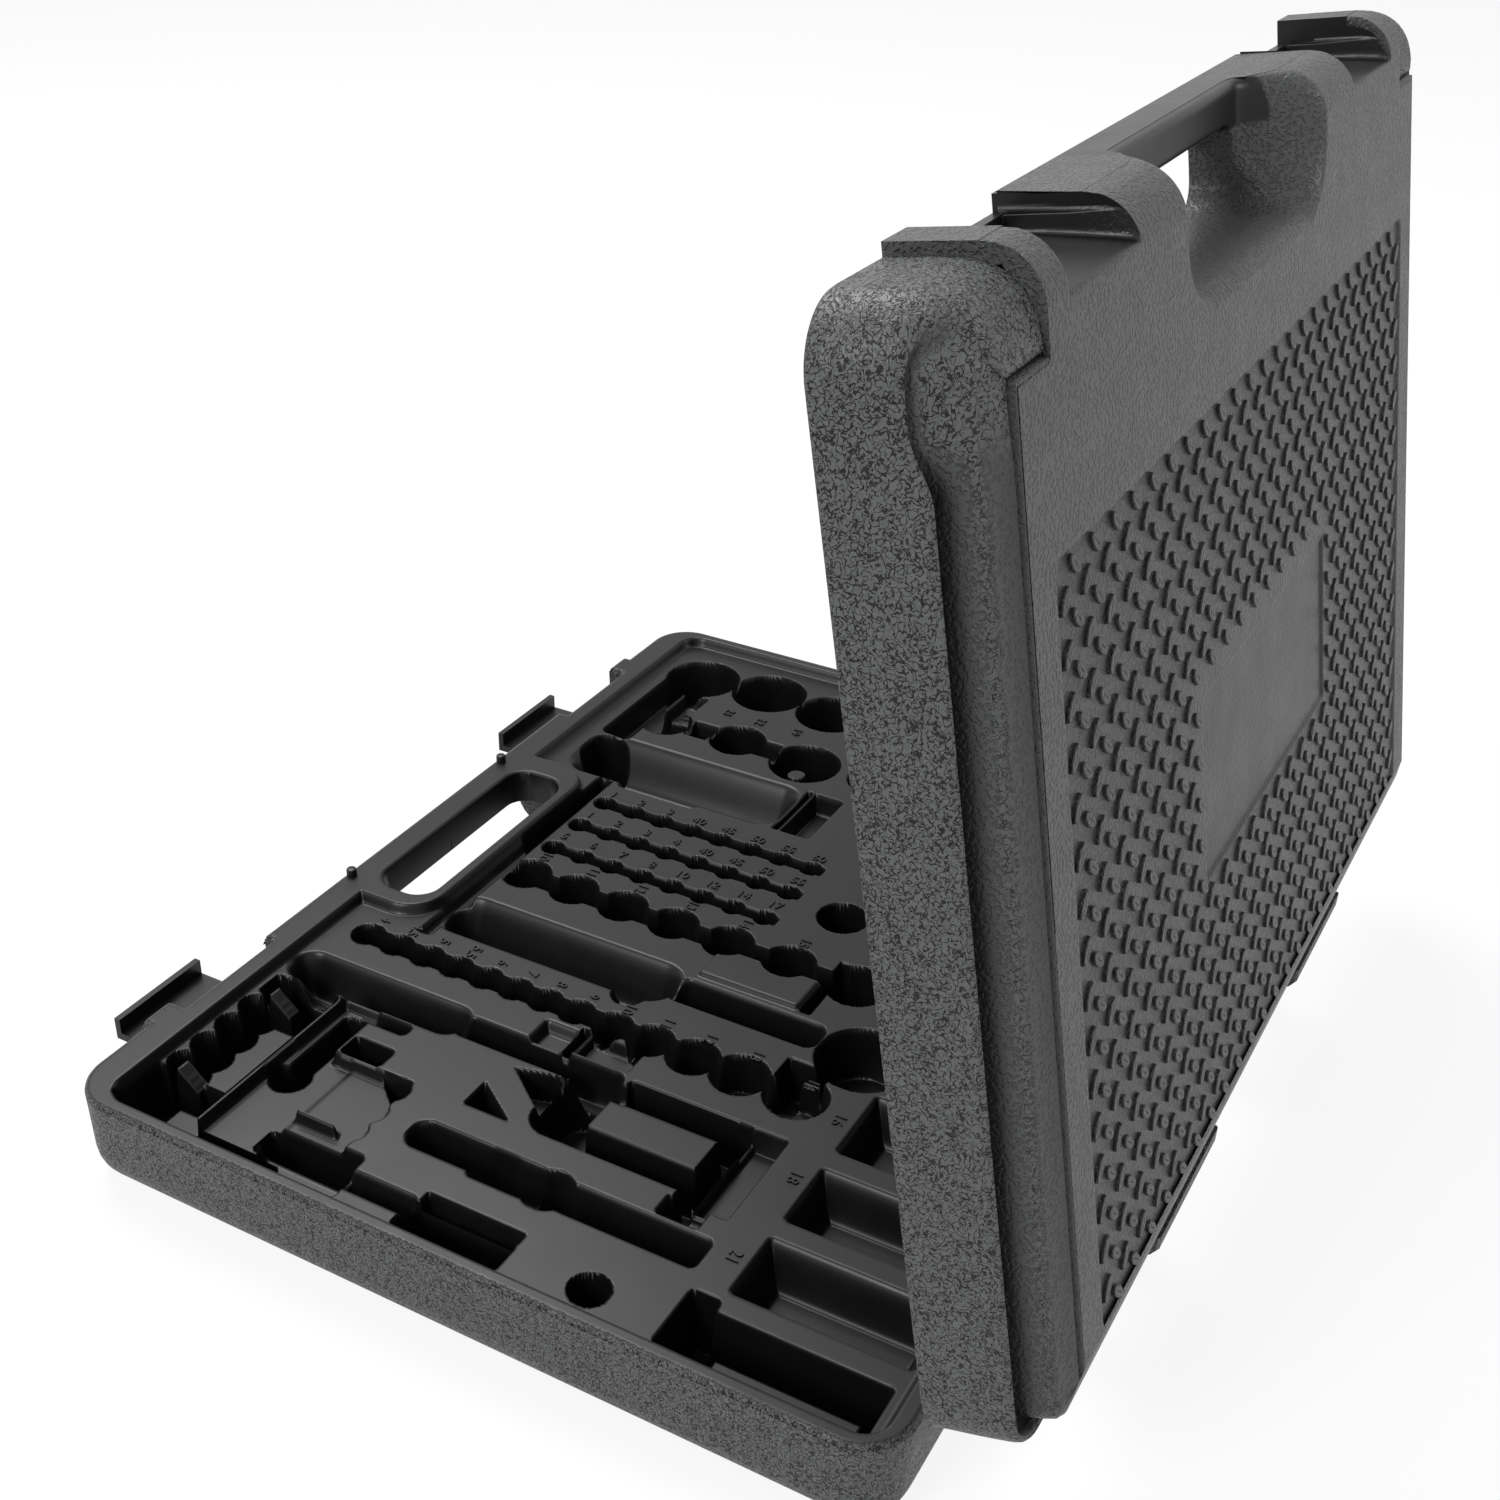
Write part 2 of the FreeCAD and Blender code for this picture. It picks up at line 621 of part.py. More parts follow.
# Between the corner pads the face runs out to the front and turns down in a plain round
lid_face = "( base_height + seam_gap + lid_wall + ridge_rise + face_rise )"
round_line = "( %s + front_round )" % front_face
round_height = "( %s - front_round )" % lid_face
lid_solids.append(rod("lid_front_round", block_left, block_right, round_line, round_height, "front_round"))
lid_solids.append(block("lid_front_wall", block_left, block_right, front_face, "%s + front_reach" % front_face,
                        lid_low, round_height))
lid_solids.append(block("lid_front_face", block_left, block_right, round_line, "%s + front_reach" % front_face,
                        lid_low, lid_face))
lid_inside = rounded(
    "lid_inside",
    "case_width - 2 * lid_border",
    "case_depth - lid_border - lid_recess_front",
    "tray_round",
    "( lid_recess_front - lid_border ) / 2",
    "base_height - 1",
)
lid_cuts.append(raised("lid_recess_cut", lid_inside, "lid_recess + seam_gap + 1", "0"))
lid_hole = rounded("lid_hole", "grip_length", "grip_hole", "hole_round",
                   "grip_bar + grip_hole / 2 - case_depth / 2", "base_height - 1")
lid_cuts.append(raised("lid_hole_cut", lid_hole, "lid_wall + ridge_rise + face_rise + 3", "0"))
scoop_outline = rounded("scoop_outline", "scoop_length + 4", "2 * scoop_reach", "scoop_round", front_face,
                        "%s + 1" % lid_face)
lid_cuts.append(raised("lid_scoop", scoop_outline, "0", "%s + 1 - base_height - grip_thick" % lid_face, "0",
                       "scoop_angle"))
for side, middle in latch_middle.items():
    left = "%s - latch_bay / 2" % middle
    right = "%s + latch_bay / 2" % middle
    cheek_left, cheek_right = (right, block_right) if side == "right" else (block_left, left)
    lid_solids.append(rod("lid_cheek_round_" + side, cheek_left, cheek_right, "%s - cheek_reach" % round_line,
                          round_height, "front_round"))
    lid_solids.append(block("lid_cheek_" + side, cheek_left, cheek_right, "%s - cheek_reach" % front_face,
                            round_line, lid_low, round_height))
    lid_cuts.append(block("lid_bay_" + side, left, right, "%s - 6" % front_face, "%s + bay_depth" % front_face,
                          "base_height - 1", "%s + 1" % lid_face))
    lid_cuts.append(block("hook_bay_" + side, left, right, "%s - 6" % front_face, "%s + hook_bay" % front_face,
                          "%s + ledge_thick" % lid_low, "%s + 1" % lid_face))
for number, turn in enumerate((1, -1)):
    lid_cuts.append(post("peg_hole_%d" % number, "peg_spacing / 2 * %d" % turn,
                         "%s + peg_radius + 0.5" % front_face, "peg_radius + peg_play",
                         "base_height - 1", "base_height + peg_height + 1"))
panel_front = "( case_depth / 2 - panel_high )"
panel_back = "( case_depth / 2 - panel_low )"
panel_cut = block("panel_cut", "0 - panel_length / 2", "panel_length / 2", panel_front, panel_back,
                  "%s - panel_depth" % lid_face, "%s + 1" % lid_face)
plate_cut = block("plate_cut", "0 - plate_length / 2", "plate_length / 2", "case_depth / 2 - plate_high",
                  "case_depth / 2 - plate_low", "%s - panel_depth - plate_depth" % lid_face, "%s + 1" % lid_face)
lid_cuts.extend([panel_cut, plate_cut])
lid_body = join("lid_body", lid_solids)
lid_holes = join("lid_holes", lid_cuts)
lid_shell = cut("lid_shell", lid_body, lid_holes)
lid_shell.Placement.Rotation = FreeCAD.Rotation(FreeCAD.Vector(1, 0, 0), -values["open_angle"])
bind(lid_shell, Placement__Rotation__Angle="0 - open_angle")
place(
    lid_shell,
    "0",
    "%s - %s * cos ( open_angle ) - base_height * sin ( open_angle )" % (hinge_line, hinge_line),
    "base_height - base_height * cos ( open_angle ) + %s * sin ( open_angle )" % hinge_line,
)

# Latches lie swung open: plate level, hook lip standing up at the outer end
latches = []
for side, middle in latch_middle.items():
    left = "%s - latch_width / 2" % middle
    right = "%s + latch_width / 2" % middle
    hook_inside = "( %s - ( base_height + seam_gap - pivot_height + ledge_thick + hook_play ) )" % pivot_line
    lip_outer = "( %s - lip_thick )" % hook_inside
    plate_low = "pivot_height - latch_plate / 2"
    plate_high = "pivot_height + latch_plate / 2"
    barrel_half = "( latch_bay / 2 - barrel_gap )"
    latch_solid = join("latch_solid_" + side, [
        block("latch_plate_" + side, left, right, lip_outer, pivot_line, plate_low, plate_high),
        block("latch_lip_" + side, left, right, lip_outer, hook_inside, plate_low, plate_high + " + latch_lip"),
        rod("latch_barrel_" + side, "%s - %s" % (middle, barrel_half), "%s + %s" % (middle, barrel_half),
            pivot_line, "pivot_height", "barrel_radius"),
    ])
    bore = rod("latch_hole_" + side, "%s - latch_bay" % middle, "%s + latch_bay" % middle, pivot_line,
               "pivot_height", "latch_pin_radius + pin_play")
    latches.append(cut("latch_" + side, latch_solid, bore))

# Steel pins
pins = []
for side, middle in latch_middle.items():
    reach = "( latch_bay / 2 + pin_bite )"
    pins.append(rod("latch_pin_" + side, "%s - %s" % (middle, reach), "%s + %s" % (middle, reach), pivot_line,
                    "pivot_height", "latch_pin_radius"))
for side, middle in hinge_middle.items():
    reach = "( hinge_width / 2 )"
    pins.append(rod("hinge_pin_" + side, "%s - %s" % (middle, reach), "%s + %s" % (middle, reach), hinge_line,
                    "base_height", "hinge_pin_radius"))

document.recompute()
for item in document.Objects:
    if "Invalid" in item.State or "Error" in item.State:
        raise RuntimeError("could not build " + item.Label)
os.makedirs("parts", exist_ok=True)
for item in [base_shell, lid_shell] + latches + pins:
    shape = item.Shape
    if shape.isNull() or not shape.isValid() or len(shape.Solids) != 1:
        raise RuntimeError("bad shape " + item.Label + " solids " + str(len(shape.Solids)))
    shape.exportStep("parts/" + item.Label + ".step")
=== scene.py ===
import math

import bpy
import numpy as np
from mathutils import Matrix, Vector


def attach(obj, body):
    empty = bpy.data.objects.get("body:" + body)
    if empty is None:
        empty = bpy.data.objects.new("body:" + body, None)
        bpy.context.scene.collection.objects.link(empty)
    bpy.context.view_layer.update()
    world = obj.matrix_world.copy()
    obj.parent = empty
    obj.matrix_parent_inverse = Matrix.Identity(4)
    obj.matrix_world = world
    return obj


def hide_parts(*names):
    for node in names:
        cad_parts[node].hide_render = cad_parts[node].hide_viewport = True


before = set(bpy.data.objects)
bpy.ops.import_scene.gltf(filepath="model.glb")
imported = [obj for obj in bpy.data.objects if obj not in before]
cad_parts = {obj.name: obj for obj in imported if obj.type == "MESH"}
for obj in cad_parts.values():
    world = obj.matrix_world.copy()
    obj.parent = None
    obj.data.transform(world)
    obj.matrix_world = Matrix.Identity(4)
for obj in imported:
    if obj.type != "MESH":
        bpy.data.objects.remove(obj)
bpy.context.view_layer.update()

mm = 0.001

# the whole case, in millimetres: X along the hinge, handle at -Y, lower half standing on z = 0
case = {
    "width": 392.0,
    "depth": 300.0,
    "cornerRound": 17.0,
    "cheekEnd": 156.0,
    "cheekReach": 3.0,
    "rimHeight": 35.0,
    "seamGap": 0.3,
    "hingeOffset": 10.5,
    "openAngle": 81.0,
    "latchMiddle": 120.0,
    "latchBay": 46.0,
    "bayDepth": 4.5,
    "hookBay": 11.5,
    "gripBar": 12.0,
    "gripThick": 14.0,
    "holeHalf": 48.0,
    "holeDepth": 24.0,
    "holeRound": 9.0,
    "scoopHalf": 63.0,
    "gridStep": 0.62,
    "skirt": 1.3,
    "holeSkirt": 2.2,
    "skirtFall": 1.5,
    "holeFall": 0.6,
    "edgeSlip": 0.05,
}
halfWidth = case["width"] / 2
halfDepth = case["depth"] / 2
rim = case["rimHeight"]
hingeLine = halfDepth + case["hingeOffset"]
sides = (("right", 1), ("left", -1))


def ease(t):
    # smooth step from 0 to 1
    t = np.clip(t, 0.0, 1.0)
    return t * t * (3.0 - 2.0 * t)


def boxDistance(x, y, left, right, front, back, turn=1.5):
    # distance to a rectangle with rounded corners, negative inside
    turn = min(turn, (right - left) / 2, (back - front) / 2)
    across = np.abs(x - (left + right) / 2) - (right - left) / 2 + turn
    along = np.abs(y - (front + back) / 2) - (back - front) / 2 + turn
    outside = np.hypot(np.maximum(across, 0), np.maximum(along, 0))
    return outside + np.minimum(np.maximum(across, along), 0) - turn


def discDistance(x, y, cx, cy, radius):
    return np.hypot(x - cx, y - cy) - radius


def wedgeDistance(x, y, corners):
    # distance to a convex polygon given anticlockwise: the largest of its edge distances
    far = None
    for (ax, ay), (bx, by) in zip(corners, corners[1:] + corners[:1]):
        length = math.hypot(bx - ax, by - ay)
        edge = ((x - ax) * (by - ay) - (y - ay) * (bx - ax)) / length
        far = edge if far is None else np.maximum(far, edge)
    return far


def sink(height, distance, floor, wall):
    # lowers a surface to a floor inside an outline, across an S-shaped wall of that width
    return height + (np.minimum(floor, height) - height) * ease(-distance / wall)


def lift(height, distance, top, wall):
    # raises a surface to a top inside an outline, across the same S-shaped wall
    return height + (np.maximum(top, height) - height) * ease(-distance / wall)


def caseOutline(x, y, bayDepth):
    # plan outline of a half, with a cheek standing out beside each of the two bays in the front
    away = boxDistance(x, y, -halfWidth, halfWidth, -halfDepth, halfDepth, case["cornerRound"])
    half = case["latchBay"] / 2
    for middle in (-case["latchMiddle"], case["latchMiddle"]):
        bay = boxDistance(x, y, middle - half, middle + half, -halfDepth - 20, -halfDepth + bayDepth, 1.0)
        away = np.maximum(away, -bay)
    cheek = boxDistance(np.abs(x), y, case["latchMiddle"] + half, case["cheekEnd"],
                        -halfDepth - case["cheekReach"], -halfDepth + 12, 1.0)
    return np.minimum(away, cheek)


def holeDistance(x, y):
    front = -halfDepth + case["gripBar"]
    return boxDistance(x, y, -case["holeHalf"], case["holeHalf"], front, front + case["holeDepth"],
                       case["holeRound"])


def slide(x, y, away, amount):
    # moves points against the slope of a distance field, so that they land on its outline
    slopeY, slopeX = np.gradient(away, y[:, 0], x[0, :])
    return x - slopeX * amount, y - slopeY * amount


def slideToEdges(x, y, away, hole):
    # points past the outline, or inside the grip hole, go back to its edge
    sideX, sideY = slide(x, y, away, np.clip(away + case["edgeSlip"], 0, case["skirt"] + case["edgeSlip"]))
    wellX, wellY = slide(x, y, hole, np.clip(hole, -case["holeSkirt"], 0))
    past = away > -case["edgeSlip"]
    return (np.where(past, sideX, np.where(hole < 0, wellX, x)),
            np.where(past, sideY, np.where(hole < 0, wellY, y)))


def swing(points):
    # turns points of the shut lid about the hinge to where it stands open
    turn = -math.radians(case["openAngle"])
    c, s = math.cos(turn), math.sin(turn)
    y = points[:, 1] - hingeLine
    z = points[:, 2] - rim
    return np.stack([points[:, 0], hingeLine + y * c - z * s, rim + y * s + z * c], 1)


def linear(code):
    # sRGB hex to linear colour
    parts = [int(code[i:i + 2], 16) / 255 for i in (1, 3, 5)]
    return [p / 12.92 if p <= 0.04045 else ((p + 0.055) / 1.055) ** 2.4 for p in parts] + [1.0]


def addNode(tree, kind, settings=None, inputs=None):
    # one node with its settings, its plain input values and its links
    node = tree.nodes.new(kind)
    for key, value in (settings or {}).items():
        setattr(node, key, value)
    for key, value in (inputs or {}).items():
        if isinstance(value, bpy.types.NodeSocket):
            tree.links.new(value, node.inputs[key])
        else:
            node.inputs[key].default_value = value
    return node


def figure(tree, operation, *values, clamp=False):
    # the result of one sum on sockets and plain numbers
    node = addNode(tree, "ShaderNodeMath", {"operation": operation, "use_clamp": clamp},
                   dict(enumerate(values)))
    return node.outputs["Value"]


def ramp(tree, value, span, ends=(0.0, 1.0), kind="SMOOTHSTEP"):
    # carries a span of values over to the two ends
    node = addNode(tree, "ShaderNodeMapRange", {"interpolation_type": kind}, {
        "Value": value, "From Min": span[0], "From Max": span[1], "To Min": ends[0], "To Max": ends[1]})
    return node.outputs["Result"]


def noiseOf(tree, place, size, detail, more=None):
    # noise whose blobs are about this many millimetres across
    return addNode(tree, "ShaderNodeTexNoise", None, {
        "Vector": place, "Scale": 1.0 / (size * mm), "Detail": detail, **(more or {})}).outputs["Fac"]


def newMaterial(name):
    material = bpy.data.materials.new(name)
    material.use_nodes = True
    tree = material.node_tree
    shader = next(n for n in tree.nodes if n.type == "BSDF_PRINCIPLED")
    return material, tree, shader


# blow-moulded polyethylene: dull black with a wormy cast grain outside and a satin skin inside
plastic = {
    "grained": "#4e4f50",
    "grainPitShade": "#121213",
    "satin": "#0a0a0b",
    "wormSize": 1.35,
    "wormDepth": 0.85,
    "wormBand": (0.014, 0.05),
    "wormGrain": (0.65, 0.95),
    "sandSize": 1.2,
    "sandDepth": 0.62,
    "sandBand": (0.36, 0.54),
    "sandFade": -0.65,
    "sandPitShade": 0.38,
    "ripple": 14.0,
    "rippleShare": 0.12,
    "speckSize": 0.5,
    "speckDepth": 0.06,
    "satinRough": 0.36,
    "grainedRough": 0.45,
    "mirror": 0.25,
}


def mouldedPolyethylene():
    material, tree, shader = newMaterial("blow-moulded polyethylene")
    place = addNode(tree, "ShaderNodeTexCoord").outputs["Object"]
    grain = addNode(tree, "ShaderNodeAttribute", {"attribute_name": "grain"}).outputs["Fac"]
    # the worms follow the middle contour of a noise, and only the full grain has them
    noise = noiseOf(tree, place, plastic["wormSize"], 1.0, {"Roughness": 0.4, "Distortion": 0.6})
    band = figure(tree, "ABSOLUTE", figure(tree, "SUBTRACT", noise, 0.5))
    line = ramp(tree, band, plastic["wormBand"], (1.0, 0.0))
    coarse = ramp(tree, grain, plastic["wormGrain"])
    worm = figure(tree, "MULTIPLY", line, coarse)
    # the sandy pits fade where the worms take over
    pit = ramp(tree, noiseOf(tree, place, plastic["sandSize"], 1.0), plastic["sandBand"], (1.0, 0.0))
    sandShare = figure(tree, "MULTIPLY_ADD", coarse, plastic["sandFade"], grain, clamp=True)
    sandy = figure(tree, "MULTIPLY", pit, sandShare)
    # the worm lines and sand pits are coloured darker as well as dented: painted shade in the hollows of the
    # grain
    shade = figure(tree, "MULTIPLY_ADD", sandy, plastic["sandPitShade"], worm, clamp=True)
    tone = addNode(tree, "ShaderNodeMix", {"data_type": "RGBA"}, {
        "Factor": shade, 6: linear(plastic["grained"]), 7: linear(plastic["grainPitShade"])})
    # a low grain picks the dark satin colour; on the lid shoulder's valley and groove that dark colour is
    # painted shade
    skin = addNode(tree, "ShaderNodeMix", {"data_type": "RGBA"}, {
        "Factor": grain, 6: linear(plastic["satin"]), 7: tone.outputs[2]})
    tree.links.new(skin.outputs[2], shader.inputs["Base Color"])
    # faint patches of sheen, several millimetres across
    dull = ramp(tree, grain, (0.0, 1.0), (plastic["satinRough"], plastic["grainedRough"]), "LINEAR")
    patch = figure(tree, "MULTIPLY_ADD", noiseOf(tree, place, plastic["ripple"], 2.0), plastic["rippleShare"],
                   -plastic["rippleShare"] / 2)
    tree.links.new(figure(tree, "ADD", dull, patch), shader.inputs["Roughness"])
    fine = addNode(tree, "ShaderNodeBump", None, {
        "Height": noiseOf(tree, place, plastic["speckSize"], 1.0), "Strength": 0.10,
        "Distance": plastic["speckDepth"] * mm})
    sanded = addNode(tree, "ShaderNodeBump", {"invert": True}, {
        "Height": sandy, "Strength": 1.0, "Distance": plastic["sandDepth"] * mm,
        "Normal": fine.outputs["Normal"]})
    deep = addNode(tree, "ShaderNodeBump", {"invert": True}, {
        "Height": worm, "Strength": 1.0, "Distance": plastic["wormDepth"] * mm,
        "Normal": sanded.outputs["Normal"]})
    tree.links.new(deep.outputs["Normal"], shader.inputs["Normal"])
    shader.inputs["IOR"].default_value = 1.5
    shader.inputs["Specular IOR Level"].default_value = plastic["mirror"]
    return material


# cold drawn steel wire: bright grey with faint draw lines along the pin
steelWire = {"bright": "#a9abad", "dark": "#8f9194", "lineSize": 0.35, "rough": (0.28, 0.42)}


def drawnSteel():
    material, tree, shader = newMaterial("drawn steel wire")
    place = addNode(tree, "ShaderNodeTexCoord").outputs["Object"]
    stretch = addNode(tree, "ShaderNodeMapping", None, {"Vector": place, "Scale": (0.03, 1.0, 1.0)})
    lines = noiseOf(tree, stretch.outputs["Vector"], steelWire["lineSize"], 2.0)
    tone = addNode(tree, "ShaderNodeMix", {"data_type": "RGBA"}, {
        "Factor": lines, 6: linear(steelWire["dark"]), 7: linear(steelWire["bright"])})
    tree.links.new(tone.outputs[2], shader.inputs["Base Color"])
    tree.links.new(ramp(tree, lines, (0.0, 1.0), steelWire["rough"], "LINEAR"), shader.inputs["Roughness"])
    shader.inputs["Metallic"].default_value = 1.0
    return material


casePlastic = mouldedPolyethylene()
pinSteel = drawnSteel()
print("materials made")


def castPiece(name, mesh, body):
    # a finished mesh as a plastic piece on its body
    mesh.materials.append(casePlastic)
    piece = bpy.data.objects.new(name, mesh)
    bpy.context.scene.collection.objects.link(piece)
    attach(piece, body)
    return piece


def unit(vectors):
    return vectors / np.maximum(np.linalg.norm(vectors, axis=1, keepdims=True), 1e-9)


def ringQuads(rows, count):
    # faces between rows of closed rings, each ring of the same number of points
    ring = np.arange(count)
    following = (ring + 1) % count
    starts = np.arange(rows - 1)[:, None] * count
    return np.stack([starts + ring, starts + following, starts + count + following, starts + count + ring],
                    -1).reshape(-1, 4)


def meshPiece(name, points, quads, body, normals=None, grain=None, sharp=None):
    # puts whole arrays of points (millimetres) and four-cornered faces into one mesh
    mesh = bpy.data.meshes.new(name)
    mesh.vertices.add(len(points))
    mesh.vertices.foreach_set("co", (points * mm).astype(np.float32).ravel())
    mesh.loops.add(quads.size)
    mesh.loops.foreach_set("vertex_index", quads.astype(np.int32).ravel())
    mesh.polygons.add(len(quads))
    mesh.polygons.foreach_set("loop_start", np.arange(0, quads.size, 4, dtype=np.int32))
    mesh.update(calc_edges=True)
    mesh.validate()
    mesh.polygons.foreach_set("use_smooth", np.ones(len(mesh.polygons), bool))
    amount = np.zeros(len(points), np.float32) if grain is None else grain.astype(np.float32)
    mesh.attributes.new("grain", "FLOAT", "POINT").data.foreach_set("value", amount)
    if sharp is not None:
        mesh.set_sharp_from_angle(angle=math.radians(sharp))
    if normals is not None:
        mesh.normals_split_custom_set_from_vertices(normals.astype(np.float32))
    return castPiece(name, mesh, body)


def sheetPieces(name, x, y, z, keep, body, parts, grain=None, place=None, flip=False, hanging=None):
    # a height field over the plan, cut into side-by-side strips that share their edge points;
    # each point's normal comes from the slope of the whole field, so the strips meet unseen;
    # hanging gives a mask and the level direction that its points face, where the sheet turns down
    rows, columns = x.shape
    sheet = np.stack([x, y, z], -1)
    points = sheet.reshape(-1, 3)
    normals = np.cross(np.gradient(sheet, axis=1), np.gradient(sheet, axis=0))
    if hanging is not None:
        mask, faceX, faceY = hanging
        normals = np.where(mask[..., None], np.stack([faceX, faceY, 0 * faceX], -1), normals)
    normals = normals.reshape(-1, 3)
    if flip:
        normals = -normals
    normals = unit(normals)
    if place is not None:
        origin = place(np.zeros((1, 3)))
        points, normals = place(points), place(normals) - origin
    index = np.arange(rows * columns).reshape(rows, columns)
    made = []
    edges = np.linspace(0, columns - 1, parts + 1).astype(int)
    for number, (first, last) in enumerate(zip(edges[:-1], edges[1:])):
        a = index[:-1, first:last]
        b = index[:-1, first + 1:last + 1]
        c = index[1:, first + 1:last + 1]
        d = index[1:, first:last]
        quads = np.stack([a, b, c, d], -1)[keep[:, first:last]]
        if flip:
            quads = quads[:, ::-1]
        used, packed = np.unique(quads, return_inverse=True)
        label = name if parts == 1 else "%s_%d" % (name, number + 1)
        made.append(meshPiece(label, points[used], packed.reshape(-1, 4), body, normals[used],
                              None if grain is None else grain.reshape(-1)[used]))
    return made


def planGrid(step, left=-halfWidth - 2, right=halfWidth + 2, front=-halfDepth - 5, back=halfDepth + 2):
    across = np.linspace(left, right, int(round((right - left) / step)) + 1)
    along = np.linspace(front, back, int(round((back - front) / step)) + 1)
    return np.meshgrid(across, along)


def quadMask(inside):
    # a face stays when all four of its corners stay
    return inside[:-1, :-1] & inside[:-1, 1:] & inside[1:, 1:] & inside[1:, :-1]


# the moulded tray: floors and places of its pockets in millimetres, read off the photograph
tray = {
    "plate": 31.0,
    "shelf": 22.0,
    "middle": 16.0,
    "deep": 8.5,
    "wall": 1.9,
    "rimEdge": 1.8,
    "smallLane": 72.8,
    "smallSockets": [(-121.4, 6.4), (-108, 6.4), (-94.3, 6.4), (-81.3, 6.4), (-68.2, 6.4), (-55.4, 6.4),
                     (-42.6, 6.5), (-29.4, 6.8), (-14.4, 7.6), (1.2, 8.6), (18.2, 9.6), (36.5, 10.6),
                     (58.0, 11.4)],
    "largeLane": 10.2,
    "largeSockets": [(-93.5, 9.8), (-71.8, 9.8), (-49.6, 9.8), (-27.3, 9.8), (-3.8, 9.9), (21.4, 10.4),
                     (49, 12), (75, 12), (100, 12)],
    "bitLanes": [-48.2, -29.4, -10.2],
    "bitStart": -94.9,
    "bitPitch": 13.62,
    "wideSockets": [(-162, -114, 17), (-165, -81, 17), (-162, -48, 16), (-163, -13, 16), (-163, 22, 16),
                    (-163, 57, 16)],
    "secondSockets": [(-119.5, -108, 11.5), (-121, -73, 12.5), (-121, -6, 12.5), (-121, 27, 12.5),
                      (-121, 60, 12.5)],
}


